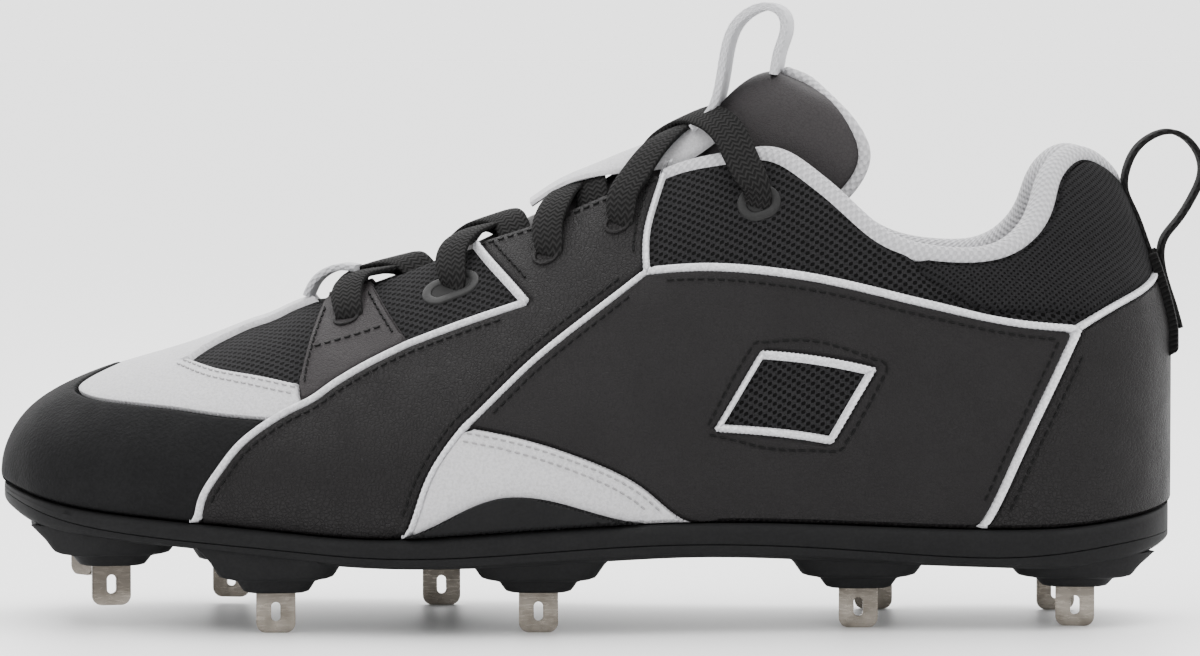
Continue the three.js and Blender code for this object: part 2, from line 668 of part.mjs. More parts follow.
function stud(spike) {
  const station = stationOf(spike.at);
  const top = underHeight(station) + STUD_SINK;
  const low = spike.lift + SPIKE_DROP;
  const rings = STUD.rows.map(([depth, long, wide]) => studRing(long, wide, top + (low - top) * depth));
  const place = spikePlace(spike);
  const inward = -Math.sign(spike.across) * STUD_INWARD;
  const turn = new THREE.Matrix4().makeRotationZ(THREE.MathUtils.degToRad(spike.turn));
  const move = turn.setPosition(place.x, place.y + inward, 0);
  rings.forEach((ring) => ring.forEach((point) => point.applyMatrix4(move)));
  return loft(rings);
}

function spikeOutline(half, top, round) {
  const outline = [new THREE.Vector2(-half, top)];
  [[round - half, Math.PI], [half - round, 1.5 * Math.PI]].forEach(([middle, from]) => {
    for (let k = 0; k <= ROUND_STEPS; k += 1) {
      const angle = from + (Math.PI / 2) * (k / ROUND_STEPS);
      outline.push(new THREE.Vector2(middle + round * Math.cos(angle), round + round * Math.sin(angle)));
    }
  });
  outline.push(new THREE.Vector2(half, top));
  return outline;
}

// A spike's plate stands in the plane of the shoe's length, its lower end at the origin
function uprightPlate(outline, thick, hole) {
  const shape = new THREE.Shape(outline);
  if (hole) {
    shape.holes.push(new THREE.Path(hole));
  }
  const geometry = new THREE.ExtrudeGeometry(shape, { depth: thick, bevelEnabled: false, steps: 1 });
  return geometry.translate(0, 0, -thick / 2).rotateX(Math.PI / 2);
}

function setSpike(geometry, spike) {
  const place = spikePlace(spike);
  geometry.rotateZ(THREE.MathUtils.degToRad(spike.turn));
  return solid(geometry.translate(place.x, place.y, place.z));
}

function spikeHole() {
  return slotShape(SLOT_HEIGHT, SLOT_WIDTH, 2).map(({ x, y }) => (
    new THREE.Vector2(y, SLOT_UP - x)));
}

// The studs grow out of the plate and end just under its upper face
const overStuds = soleSlab((station) => [
  [LEDGE + SOLE_MARGIN, 2 * SOLE_LINE],
  [LEDGE + SOLE_MARGIN, seamHeight(station) - GAP - STUD_COVER],
]);
const solePrism = soleSlab(() => [[LEDGE - STUD_INSIDE, 2 * SOLE_LINE], [LEDGE - STUD_INSIDE, 0]]);
const studs = SPIKES.map((spike) => stud(spike).subtract(overStuds).intersect(solePrism));
let outsole = studs.reduce((body, each) => body.add(each), plate);
const rootTop = SPIKE_DROP + SPIKE_ROOT;
SPIKES.forEach((spike) => {
  const pocket = uprightPlate(spikeOutline(SPIKE_WIDTH / 2 + GAP, rootTop + GAP, SPIKE_ROUND),
    SPIKE + 2 * GAP);
  outsole = outsole.subtract(setSpike(pocket, spike));
  const metal = uprightPlate(spikeOutline(SPIKE_WIDTH / 2, rootTop, SPIKE_ROUND), SPIKE, spikeHole());
  addPiece(`spike_${spike.name}`, setSpike(metal, spike), STEEL);
});
addPiece('outsole', outsole, BLACK_RUBBER);

// Panels are what the seams leave of one layer around the upper, found by a place inside each
const pipingLayer = layer(GAP, GAP + PIPING);
const joined = (bodies) => bodies.reduce((all, each) => all.add(each));
const stripesCut = (lines, side, half) => joined(lines.map((line) => (
  sideStrip(inSideView(line), half, side))));

function frameCut(side, half) {
  const corners = inSideView([...WINDOW, WINDOW[0]]);
  return joined(corners.slice(1).map((end, i) => {
    const along = end.clone().sub(corners[i]).setLength(half);
    return sideStrip([corners[i].clone().sub(along), end.clone().add(along)], half, side);
  }));
}

const FRONT_PIPES = [SADDLE_FRONT, THROAT_PIPE];
const REAR_PIPES = [SADDLE_REAR, COLLAR_PIPE, QUARTER_TOP, COUNTER_FRONT, COUNTER_TOP];
const PLAIN_SEAMS = [TOE_LINE, ARCH_TOP, TAB_FRONT, TAB_REAR];
const EDGE_INSET = 0.6; // panels end this far from the collar's and the throat's edge
const beforeTab = sideCut(inSideView([...TAB_FRONT, [0, 0.32], [0, 0.7]]), BOTH);
const sides = [[OUTER, 'outer'], [INNER, 'inner']];

const grooves = joined(sides.flatMap(([side]) => [
  stripesCut([...FRONT_PIPES, ...REAR_PIPES], side, PIPING_WIDTH / 2 + GAP),
  stripesCut(PLAIN_SEAMS, side, GAP / 2),
  frameCut(side, PIPING_WIDTH / 2 + GAP),
  planCut(inPlan(TOE_WINDOW, side)).intersect(beforeTab),
]));
const openings = joined([collarCut(-EDGE_INSET), throatCut(EDGE_INSET), soleSpace]);
const panels = layer(GAP, GAP + OVERLAY).subtract(grooves).subtract(openings).decompose();
const PROBE = 2;

function panel(name, side) {
  const [at, up] = PANEL_PLACES[name];
  const { station, around } = findOnLast(at, up, side);
  const { x, y, z } = onLast(station, around, side, GAP + OVERLAY / 2);
  const probe = solid(new THREE.BoxGeometry(PROBE, PROBE, PROBE).translate(x, y, z));
  const shared = (body) => body.intersect(probe).volume();
  return punched(panels.reduce((best, each) => (shared(each) > shared(best) ? each : best)));
}

addPiece('toe_guard', panel('toe_guard', OUTER), BLACK_RUBBER);
addPiece('vamp_overlay', panel('vamp_overlay', OUTER), WHITE_SUEDE);
addPiece('heel_counter', panel('heel_counter', OUTER), BLACK_LEATHER);
sides.forEach(([side, word]) => {
  addPiece(`eyelet_tab_${word}`, panel('eyelet_tab', side), GREY_LEATHER);
  addPiece(`saddle_${word}`, panel('saddle', side), BLACK_LEATHER);
  addPiece(`quarter_${word}`, panel('quarter', side), BLACK_LEATHER);
  addPiece(`arch_wedge_${word}`, panel('arch_wedge', side), WHITE_SUEDE);
  const piping = (cut) => pipingLayer.intersect(cut).subtract(openings);
  addPiece(`piping_front_${word}`, piping(stripesCut(FRONT_PIPES, side, PIPING_WIDTH / 2)), WHITE_PIPING);
  addPiece(`piping_rear_${word}`, piping(stripesCut(REAR_PIPES, side, PIPING_WIDTH / 2)), WHITE_PIPING);
  addPiece(`piping_window_${word}`, piping(frameCut(side, PIPING_WIDTH / 2)), WHITE_PIPING);
});

// Strip down the middle of the heel, over the counter
const tabInside = GAP + OVERLAY + GAP;
const heelTabCut = solid(new THREE.BoxGeometry(HEEL_TAB.deep, HEEL_TAB.wide, HEEL_TAB.tall)
  .translate(LENGTH, 0, SOLE_LINE + HEEL_TAB.up * HEEL_HEIGHT));
addPiece('heel_tab', layer(tabInside, tabInside + HEEL_TAB.thick).intersect(heelTabCut), BLACK_LEATHER);

// Collar lining: foam behind the wall, rolled up over the collar's edge
const lining = layer(-(WALL + GAP + PAD), -(WALL + GAP)).subtract(collarCut(PAD_ROLL))
  .intersect(collarCut(0, PAD_DEPTH)).subtract(throatCut(-EDGE_INSET));
addPiece('collar_lining', lining, PALE_KNIT);

// Tongue and its strip: a sheet bent round the instep, thick towards the foot
function sheetPoint(shape, from, to, along, across) {
  const at = from + (to - from) * along;
  const wrap = THREE.MathUtils.degToRad(shape.wrap(at));
  const angle = across * wrap;
  const bow = (1 - Math.cos(angle)) / (1 - Math.cos(wrap));
  return new THREE.Vector3(
    at * LENGTH + bow * shape.back(at) * BALL_WIDTH,
    (Math.sin(angle) / Math.sin(wrap)) * shape.wide(at) * BALL_WIDTH,
    SOLE_LINE + shape.up(at) * HEEL_HEIGHT - bow * shape.down(at) * BALL_WIDTH,
  );
}

// The sheet itself, or with spare the room that it takes with a gap all round
function sheet(table, thick, { rows, columns }, spare = 0) {
  const shape = readTable(table);
  const from = table.rows[0][0];
  const to = table.rows[table.rows.length - 1][0];
  const point = (i, k) => sheetPoint(shape, from, to, i, k);
  const widen = new THREE.Vector3(1, 1 + spare / (shape.wide(from) * BALL_WIDTH), 1);
  const rings = [];
  for (let i = 0; i <= rows; i += 1) {
    const along = i / rows;
    const ahead = { 0: -spare, [rows]: spare }[i] ?? 0;
    const faces = [];
    const backs = [];
    for (let k = 0; k <= columns; k += 1) {
      const across = (2 * k) / columns - 1;
      const run = point(Math.min(1, along + NEAR), across).sub(point(Math.max(0, along - NEAR), across));
      const span = point(along, Math.min(1, across + NEAR)).sub(point(along, Math.max(-1, across - NEAR)));
      const inward = span.cross(run).normalize();
      const face = point(along, across).addScaledVector(run.normalize(), ahead);
      faces.push(face.clone().addScaledVector(inward, -spare).multiply(widen));
      backs.unshift(face.clone().addScaledVector(inward, thick + spare).multiply(widen));
    }
    rings.push([...faces, ...backs]);
  }
  return loft(rings);
}

// The soft tongue gives way to the wall, its panels and the lining that it lies against
const wallSpace = layer(-(WALL + GAP), OVERLAY + 2 * GAP).subtract(throatCut(-GAP)).subtract(collarCut(GAP));
const liningSpace = layer(-(WALL + PAD + 2 * GAP), 0).subtract(collarCut(PAD_ROLL + GAP))
  .intersect(collarCut(0, PAD_DEPTH + GAP)).subtract(throatCut(-EDGE_INSET - GAP));
const tongue = sheet(TONGUE_SHAPE, TONGUE, TONGUE_FINE).subtract(wallSpace).subtract(liningSpace)
  .subtract(webbing(inSideView(TONGUE_LOOP_PATH), TONGUE_LOOP + 2 * GAP, TONGUE_LOOP_WIDTH + 2 * GAP));
addPiece('tongue', tongue, GREY_LEATHER);
const tongueRoom = sheet(TONGUE_SHAPE, TONGUE, TONGUE_FINE, GAP);
addPiece('tongue_strip', sheet(STRIP_SHAPE, TONGUE_STRIP, STRIP_FINE).subtract(tongueRoom), WHITE_SUEDE);

const heelBack = (up, outset) => {
  const { around } = findOnLast(1, up, OUTER);
  const low = onLast(1, around, OUTER, outset);
  return new THREE.Vector2(low.x, low.z);
};
const loopSeat = GAP + LOOP / 2;
const heelLoop = [heelBack(HEEL_LOOP_SEATS.top, loopSeat), ...inSideView(HEEL_LOOP_PATH),
  heelBack(HEEL_LOOP_SEATS.bottom, loopSeat)];
addPiece('heel_pull_loop', webbing(heelLoop, LOOP, LOOP_WIDTH).subtract(lastForm(GAP + PIPING + GAP)),
  BLACK_CORD);
addPiece('tongue_pull_loop', webbing(inSideView(TONGUE_LOOP_PATH), TONGUE_LOOP, TONGUE_LOOP_WIDTH),
  PALE_KNIT);

const keeper = webbing(inSideView(TOE_KEEPER_PATH), KEEPER, KEEPER_WIDTH);
addPiece('lace_keeper', keeper.subtract(lastForm(GAP + OVERLAY + GAP)), PALE_KNIT);

// Eyelet rims lie on the upper around the holes of the rimmed rows
function ring(long, wide, thick, width) {
  const shape = new THREE.Shape(slotShape(long + 2 * width, wide + 2 * width));
  shape.holes.push(new THREE.Path(slotShape(long, wide)));
  return new THREE.ExtrudeGeometry(shape, { depth: thick, bevelEnabled: false, steps: 1 });
}
sides.forEach(([side, word]) => {
  ROWS.forEach((row, i) => {
    if (row.rim) {
      const rim = ring(row.long, RIM_HOLE, RIM_THICK, RIM);
      addPiece(`eyelet_${i + 1}_${word}`, solid(rim.applyMatrix4(rowFrame(row, side, RIM_SEAT))), GREY_RIM);
    }
  });
});

// Laces: two strands cross over the tongue between each row and the next
function strand(from, to, lift, side, onTop) {
  const start = findOnLast(from.at, from.up, side);
  const end = findOnLast(to.at, to.up, side);
  const station = (share) => start.station + (end.station - start.station) * share;
  const seat = GAP + PIPING + 2 * GAP + RIM_THICK + LACE / 2;
  const ridge = onLast(station(0.5), 1, side, seat);
  const { leave, climb, dip } = STRAND;
  const climbing = seat + lift * climb.lift * HEEL_HEIGHT;
  const points = [
    onLast(start.station, start.around, side, seat),
    onLast(station(leave.run), (start.around + leave.around) / 2, side, seat + leave.more),
    onLast(station(climb.run), climb.around, side, climbing),
    ridge.add(new THREE.Vector3(0, 0, lift * HEEL_HEIGHT - LACE_SINK)),
  ];
  if (onTop) {
    points.push(onLast(station(1 - climb.run), climb.around, -side, climbing));
    points.push(onLast(end.station, end.around, -side, seat));
  } else {
    points.push(onLast(station(dip.run), dip.around, -side, -LACE_SINK));
  }
  const path = new THREE.CatmullRomCurve3(points, false, 'centripetal');
  const rings = [];
  for (let i = 0; i <= STRAND_STEPS; i += 1) {
    const place = path.getPoint(i / STRAND_STEPS);
    const along = path.getTangent(i / STRAND_STEPS);
    const out = new THREE.Vector3(0, place.y, LACE_AXIS).normalize();
    const wide = new THREE.Vector3().crossVectors(out, along).setLength(LACE_WIDTH / 2);
    const up = new THREE.Vector3().crossVectors(along, wide).setLength(LACE / 2);
    rings.push([[1, 1], [1, -1], [-1, -1], [-1, 1]].map(([a, b]) => (
      place.clone().addScaledVector(wide, a).addScaledVector(up, b))));
  }
  return loft(rings);
}
const overTongue = joined([tongueRoom, sheet(STRIP_SHAPE, TONGUE_STRIP + GAP, STRIP_FINE, GAP)]);
const overWall = layer(-(WALL + GAP), GAP + PIPING + GAP).subtract(throatCut(-GAP)).subtract(collarCut(GAP));
const overLoops = joined([
  webbing(inSideView(TOE_KEEPER_PATH), KEEPER + 2 * GAP, KEEPER_WIDTH + 2 * GAP),
  webbing(inSideView(TONGUE_LOOP_PATH), TONGUE_LOOP + 2 * GAP, TONGUE_LOOP_WIDTH + 2 * GAP),
]);
ROWS.slice(1).forEach((row, i) => {
  const strands = [OUTER, INNER].map((side) => (
    strand(ROWS[i], row, CROSSING_LIFT[i], side, i === ROWS.length - 2)));
  const crossing = joined(strands).subtract(overTongue).subtract(overWall).subtract(overLoops);
  addPiece(`lace_crossing_${i + 1}`, crossing, BLACK_CORD);
});

const shoeGroup = new THREE.Group();
shoeGroup.add(shoe);
const box = new THREE.Box3().setFromObject(shoe);
const middle = box.getCenter(new THREE.Vector3());
shoe.position.set(-middle.x, -middle.y, -box.min.z);

export default shoeGroup;
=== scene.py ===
"""A left baseball cleat with metal spikes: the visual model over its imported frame."""
import math

import bmesh
import bpy
import numpy as np
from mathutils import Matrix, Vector
from mathutils.geometry import delaunay_2d_cdt


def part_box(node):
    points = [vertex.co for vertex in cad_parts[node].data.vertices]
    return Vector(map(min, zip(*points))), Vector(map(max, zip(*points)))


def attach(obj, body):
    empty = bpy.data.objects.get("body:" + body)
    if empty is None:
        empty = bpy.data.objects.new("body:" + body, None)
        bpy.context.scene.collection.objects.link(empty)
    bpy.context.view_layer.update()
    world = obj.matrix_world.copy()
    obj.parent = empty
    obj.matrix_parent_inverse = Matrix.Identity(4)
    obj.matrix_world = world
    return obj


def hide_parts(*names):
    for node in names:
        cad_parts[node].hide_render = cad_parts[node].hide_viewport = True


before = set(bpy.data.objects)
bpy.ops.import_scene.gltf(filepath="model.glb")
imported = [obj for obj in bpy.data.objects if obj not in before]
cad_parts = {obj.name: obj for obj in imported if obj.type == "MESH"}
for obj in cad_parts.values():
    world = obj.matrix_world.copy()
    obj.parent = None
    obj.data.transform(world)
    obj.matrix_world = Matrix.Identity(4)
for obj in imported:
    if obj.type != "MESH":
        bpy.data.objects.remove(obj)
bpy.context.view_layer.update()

# Sizes of the shoe in millimetres
MM = 0.001
LENGTH = 290.75
BALL_WIDTH = 100
HEEL_HEIGHT = 93
SOLE_LINE = 26
TOE_SPRING = 8.4
HEEL_LEAN = 16.5
LEDGE = 3.4
END_LEDGE = 0.6
OVERLAY = 1.25
PIPE_HALF = 1.0
LACE_WIDTH = 8.6
LACE = 1.9
SOLE_HIDES = 3.4
OUTRIGGER = 8.4
SPIKE_DROP = 10
SPIKE_ROOT = 3
SPIKE_WIDTH = 9.6
SPIKE = 1.6
STUD_INSET = 0.8
STUD_END = 4.0

# Distances between the points of seams, and of lines along the foot
LINE_STEP = 1.2
FOOT_STEP = 1.6

OUTER = -1
INNER = 1
SIDES = ((OUTER, "outer"), (INNER, "inner"))

# The spike whose place ties the source's coordinates to the frame's
TIE_AT = 0.461
TIE_ACROSS = -0.370

tie_low, tie_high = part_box("spike_outer_3")
SHIFT = np.array([(tie_low.x + tie_high.x) / 2 / MM - TIE_AT * LENGTH,
                  (tie_low.y + tie_high.y) / 2 / MM - TIE_ACROSS * BALL_WIDTH, 0.0])


def put(object_name, data):
    """A new object in the scene."""
    made = bpy.data.objects.new(object_name, data)
    bpy.context.scene.collection.objects.link(made)
    return made


# Camera of the photograph: a long lens that looks slightly down
CAMERA_TILT = 2.95
camera_data = bpy.data.cameras.new("camera")
camera_data.lens = 180
camera_data.sensor_width = 36
camera = put("camera", camera_data)
camera.location = (-0.00025, -1.5, 0.150)
camera.rotation_euler = (math.radians(90 - CAMERA_TILT), 0, 0)
bpy.context.scene.camera = camera


# The last: the same function of the shoe's form as in the source

LAST = {
    "columns": ["at", "ridge", "outer", "inner", "centre", "bulge", "rise", "crown"],
    "rows": [
        [0.000, 0.100, 0.000, 0.000, 0.070, 1.16, 0.60, 0.62],
        [0.004, 0.168, 0.095, 0.095, 0.069, 1.16, 0.60, 0.62],
        [0.017, 0.244, 0.200, 0.190, 0.066, 1.16, 0.60, 0.62],
        [0.034, 0.295, 0.275, 0.255, 0.060, 1.16, 0.58, 0.62],
        [0.069, 0.355, 0.355, 0.330, 0.052, 1.16, 0.55, 0.62],
        [0.103, 0.395, 0.400, 0.385, 0.045, 1.16, 0.53, 0.62],
        [0.172, 0.462, 0.452, 0.447, 0.030, 1.16, 0.48, 0.58],
        [0.258, 0.569, 0.483, 0.487, 0.014, 1.16, 0.42, 0.50],
        [0.310, 0.628, 0.497, 0.495, 0.004, 1.16, 0.40, 0.46],
        [0.378, 0.720, 0.512, 0.478, -0.002, 1.15, 0.38, 0.42],
        [0.447, 0.820, 0.505, 0.432, -0.006, 1.14, 0.38, 0.40],
        [0.516, 0.925, 0.470, 0.385, -0.008, 1.12, 0.40, 0.42],
        [0.602, 1.050, 0.420, 0.345, -0.008, 1.10, 0.43, 0.50],
        [0.688, 1.161, 0.378, 0.325, -0.006, 1.10, 0.46, 0.58],
        [0.774, 1.220, 0.357, 0.325, -0.004, 1.10, 0.48, 0.62],
        [0.860, 1.237, 0.346, 0.335, -0.002, 1.12, 0.50, 0.62],
        [0.911, 1.215, 0.325, 0.318, 0.000, 1.12, 0.50, 0.62],
        [0.946, 1.195, 0.280, 0.278, 0.000, 1.12, 0.50, 0.62],
        [0.973, 1.178, 0.212, 0.212, 0.000, 1.12, 0.50, 0.62],
        [0.990, 1.168, 0.128, 0.128, 0.000, 1.12, 0.50, 0.62],
        [1.000, 1.160, 0.000, 0.000, 0.000, 1.12, 0.50, 0.62],
    ],
}
SOLE = {
    "columns": ["at", "line", "seam", "under"],
    "rows": [
        [0.000, 1.000, 1.270, 1.180],
        [0.017, 0.880, 1.190, 1.040],
        [0.058, 0.550, 1.040, 0.890],
        [0.165, 0.167, 0.880, 0.800],
        [0.251, -0.095, 0.800, 0.690],
        [0.327, -0.260, 0.740, 0.630],
        [0.413, -0.100, 0.760, 0.640],
        [0.516, 0.100, 0.830, 0.690],
        [0.592, 0.167, 0.850, 0.715],
        [0.726, 0.036, 0.780, 0.650],
        [0.850, -0.107, 0.700, 0.590],
        [0.898, -0.083, 0.730, 0.575],
        [0.939, 0.036, 0.790, 0.600],
        [0.980, 0.260, 0.850, 0.700],
        [1.000, 0.540, 0.900, 0.820],
    ],
}

# Seams in the side view: share of the length, share of the heel height over the sole line
TOE_LINE = [[0.104, 0.470], [0.095, 0.385], [0.069, 0.340], [0.075, 0.323], [0.093, 0.314],
            [0.128, 0.307], [0.161, 0.299], [0.192, 0.288], [0.239, 0.278]]
SADDLE_LOW = [[0.170, -0.120], [0.175, 0.019], [0.180, 0.067], [0.195, 0.147], [0.212, 0.214],
              [0.239, 0.278]]
SADDLE_STEP = [[0.239, 0.278], [0.262, 0.320]]
SADDLE_TAB = [[0.262, 0.320], [0.277, 0.346], [0.312, 0.411], [0.353, 0.474]]
SADDLE_HIGH = [[0.353, 0.474], [0.399, 0.528], [0.451, 0.583]]
THROAT_PIPE = [[0.451, 0.583], [0.430, 0.652], [0.414, 0.703], [0.400, 0.745]]
REAR_LOW = [[0.347, -0.120], [0.350, -0.021], [0.365, 0.095], [0.383, 0.200], [0.400, 0.268]]
REAR_HIGH = [[0.400, 0.268], [0.408, 0.290], [0.448, 0.412], [0.498, 0.537], [0.552, 0.665]]
COLLAR_PIPE = [[0.552, 0.665], [0.552, 0.761], [0.561, 0.864], [0.572, 0.960]]
QUARTER_TOP = [[0.552, 0.665], [0.598, 0.676], [0.665, 0.662], [0.733, 0.622], [0.799, 0.572],
               [0.867, 0.528], [0.914, 0.513]]
COUNTER_FRONT = [[0.914, 0.513], [0.888, 0.341], [0.863, 0.177], [0.839, 0.019], [0.833, -0.120]]
COUNTER_TOP = [[0.914, 0.513], [0.945, 0.568], [0.979, 0.621], [1.030, 0.670]]
ARCH_TOP = [[0.400, 0.268], [0.448, 0.239], [0.502, 0.183], [0.552, 0.100], [0.589, 0.015], [0.612, -0.120]]
TAB_FRONT = [[0.284, 0.700], [0.277, 0.568], [0.266, 0.469], [0.259, 0.372], [0.262, 0.320]]
TAB_REAR = [[0.310, 0.720], [0.317, 0.623], [0.332, 0.562], [0.353, 0.474]]
WINDOW = [[0.612, 0.262], [0.648, 0.452], [0.742, 0.412], [0.706, 0.222]]
COLLAR = [[0.566, 0.915], [0.580, 0.932], [0.600, 0.948], [0.632, 0.965],
          [0.650, 0.972], [0.667, 0.960], [0.688, 0.917], [0.708, 0.867], [0.727, 0.813], [0.749, 0.757],
          [0.775, 0.722], [0.811, 0.706], [0.843, 0.711], [0.865, 0.738], [0.883, 0.789], [0.893, 0.850],
          [0.899, 0.912], [0.910, 0.957], [0.922, 0.972], [0.938, 0.957], [0.950, 0.928], [0.985, 0.890]]
HEEL_SEAM = [[0.777, 0.698], [0.791, 0.648], [0.813, 0.597], [0.833, 0.573], [0.855, 0.563], [0.880, 0.562],
             [0.905, 0.558], [0.924, 0.548]]
TAB_CROSS = [[0.272, 0.457], [0.330, 0.512]]
OUTRIGGER_RUN = {"at": 0.437, "front": 0.100, "back": 0.125}

# In the plan view: share of the length, share of the ball width
TOE_WINDOW = [[0.164, 0.145], [0.190, 0.235], [0.223, 0.295], [0.255, 0.338], [0.300, 0.375],
              [0.300, 0.050], [0.255, 0.050], [0.212, 0.056], [0.182, 0.090]]
THROAT = [[0.268, 0.060], [0.277, 0.082], [0.320, 0.085], [0.365, 0.092], [0.414, 0.122],
          [0.460, 0.145], [0.520, 0.150], [0.574, 0.158], [0.640, 0.170]]

ROWS = [
    {"at": 0.299, "up": 0.530, "long": 5, "rim": False},
    {"at": 0.386, "up": 0.622, "long": 10, "rim": True, "ring": 2.6},
    {"at": 0.467, "up": 0.697, "long": 5, "rim": False},
    {"at": 0.527, "up": 0.780, "long": 5, "rim": False},
    {"at": 0.647, "up": 0.847, "long": 6, "rim": True, "ring": 0.7},
]
TONGUE_SHAPE = {
    "columns": ["at", "up", "wide", "back", "down", "wrap"],
    "rows": [
        [0.262, 0.532, 0.130, 0.000, 0.045, 40],
        [0.345, 0.636, 0.200, 0.000, 0.095, 40],
        [0.400, 0.714, 0.215, 0.000, 0.112, 42],
        [0.460, 0.804, 0.210, 0.010, 0.130, 46],
        [0.516, 0.892, 0.190, 0.050, 0.150, 54],
        [0.560, 0.968, 0.165, 0.130, 0.190, 66],
        [0.600, 1.030, 0.150, 0.240, 0.240, 80],
        [0.620, 1.105, 0.170, 0.320, 0.190, 86],
        [0.642, 1.165, 0.180, 0.265, 0.130, 86],
        [0.660, 1.192, 0.140, 0.150, 0.070, 80],
        [0.672, 1.200, 0.070, 0.055, 0.020, 70],
    ],
}
STRIP_SHAPE = {
    "columns": ["at", "up", "wide", "back", "down", "wrap"],
    "rows": [
        [0.455, 0.842, 0.072, 0.000, 0.012, 40],
        [0.480, 0.893, 0.075, 0.000, 0.013, 40],
        [0.505, 0.927, 0.085, 0.000, 0.020, 45],
        [0.535, 0.966, 0.095, 0.025, 0.042, 55],
        [0.570, 1.012, 0.095, 0.045, 0.060, 62],
        [0.598, 1.068, 0.085, 0.050, 0.055, 62],
    ],
}
TONGUE_LOOP_PATH = [[0.609, 1.082], [0.617, 1.150], [0.621, 1.225], [0.629, 1.310], [0.644, 1.355],
                    [0.660, 1.366], [0.671, 1.345], [0.673, 1.300], [0.668, 1.250], [0.666, 1.222]]
HEEL_LOOP_PATH = [[0.966, 0.935], [0.974, 0.985], [0.988, 1.020], [1.003, 1.031], [1.017, 1.012],
                  [1.028, 0.965], [1.030, 0.918], [1.023, 0.860], [1.009, 0.790], [0.997, 0.737]]
KEEPER_PATH = [[0.262, 0.590], [0.268, 0.628], [0.278, 0.655], [0.292, 0.668], [0.304, 0.664]]
SPIKES = [
    {"name": "outer_1", "at": 0.098, "across": -0.250, "lift": 5.5, "turn": 12},
    {"name": "outer_2", "at": 0.240, "across": -0.380, "lift": 0, "turn": 4},
    {"name": "outer_3", "at": 0.461, "across": -0.370, "lift": 0, "turn": 0},
    {"name": "outer_4", "at": 0.732, "across": -0.250, "lift": 0, "turn": 0},
    {"name": "outer_5", "at": 0.917, "across": -0.210, "lift": 0, "turn": -6},
    {"name": "inner_1", "at": 0.060, "across": 0.250, "lift": 8.4, "turn": -50},
    {"name": "inner_2", "at": 0.187, "across": 0.370, "lift": 1.6, "turn": -10},
    {"name": "inner_3", "at": 0.373, "across": 0.330, "lift": 0, "turn": 0},
    {"name": "inner_4", "at": 0.752, "across": 0.220, "lift": 0, "turn": 0},
    {"name": "inner_5", "at": 0.911, "across": 0.200, "lift": 0, "turn": 6},
]


def natural_curve(xs, ys):
    """A natural cubic spline through the points, as a function of arrays."""
    xs, ys = np.asarray(xs, float), np.asarray(ys, float)
    n = len(xs)
    system = np.eye(n)
    load = np.zeros(n)
    for i in range(1, n - 1):
        before, after = xs[i] - xs[i - 1], xs[i + 1] - xs[i]
        system[i, i - 1:i + 2] = before, 2 * (before + after), after
        load[i] = 6 * ((ys[i + 1] - ys[i]) / after - (ys[i] - ys[i - 1]) / before)
    bend = np.linalg.solve(system, load)

    def curve(where):
        x = np.clip(where, xs[0], xs[-1])
        i = np.clip(np.searchsorted(xs, x, side="right") - 1, 0, n - 2)
        run, left, right = xs[i + 1] - xs[i], xs[i + 1] - x, x - xs[i]
        return ((bend[i] * left ** 3 + bend[i + 1] * right ** 3) / (6 * run)
                + (ys[i] / run - bend[i] * run / 6) * left
                + (ys[i + 1] / run - bend[i + 1] * run / 6) * right)

    return curve


def station_of(share):
    return np.arccos(np.clip(1 - 2 * np.asarray(share, float), -1, 1)) / math.pi


def share_of(station):
    return (1 - np.cos(math.pi * np.asarray(station))) / 2


def read_table(table, stretch=lambda value: value):
    keys = stretch(np.array([row[0] for row in table["rows"]]))
    return {name: natural_curve(keys, [row[k + 1] for row in table["rows"]])
            for k, name in enumerate(table["columns"][1:])}


last = read_table(LAST, station_of)
sole = read_table(SOLE, station_of)


def sole_line(station):
    return SOLE_LINE + TOE_SPRING * sole["line"](station)


def heel_lean(x, z):
    high = np.maximum(0, (z - SOLE_LINE) / HEEL_HEIGHT - 0.5) / 0.5
    run = np.clip((x - 0.688 * LENGTH) / (LENGTH * (1 - 0.688)), 0, 1)
    return HEEL_LEAN * high ** 1.3 * run * run * (3 - 2 * run)


def unit(vectors):
    return vectors / np.maximum(np.linalg.norm(vectors, axis=-1), 1e-9)[..., None]


def left_of(directions):
    """Flat unit vectors to the left of the given ones."""
    along = unit(directions)
    return np.stack([-along[:, 1], along[:, 0]], -1)


def run_of(points, power=1):
    """Length along a line up to each of its points, from steps raised to a power."""
    return np.concatenate([[0], np.cumsum(np.linalg.norm(np.diff(points, axis=0), axis=1) ** power)])


def resampled(values, keys, where):
    """Rows of values given at keys, read at other places."""
    return np.stack([np.interp(where, keys, values[:, k]) for k in range(values.shape[1])], -1)


def even_line(dense, step=LINE_STEP):
    """The same line with points about every step."""
    run = run_of(dense)
    count = max(2, int(round(run[-1] / step)) + 1)
    return resampled(dense, run, np.linspace(0, run[-1], count))


def smooth_line(points, step=LINE_STEP):
    """A smooth curve through flat or solid points, sampled about every step."""
    points = np.asarray(points, float)
    if len(points) == 2:
        count = max(2, int(np.linalg.norm(points[1] - points[0]) / step) + 1)
        return points[0] + (points[1] - points[0]) * np.linspace(0, 1, count)[:, None]
    keys = run_of(points, 0.75)
    fine = np.linspace(0, keys[-1], 40 * len(points))
    return even_line(np.stack([natural_curve(keys, column)(fine) for column in points.T], -1), step)


def beside(line, distance):
    """A flat line moved sideways, to its left."""
    return line + left_of(np.gradient(line, axis=0)) * distance


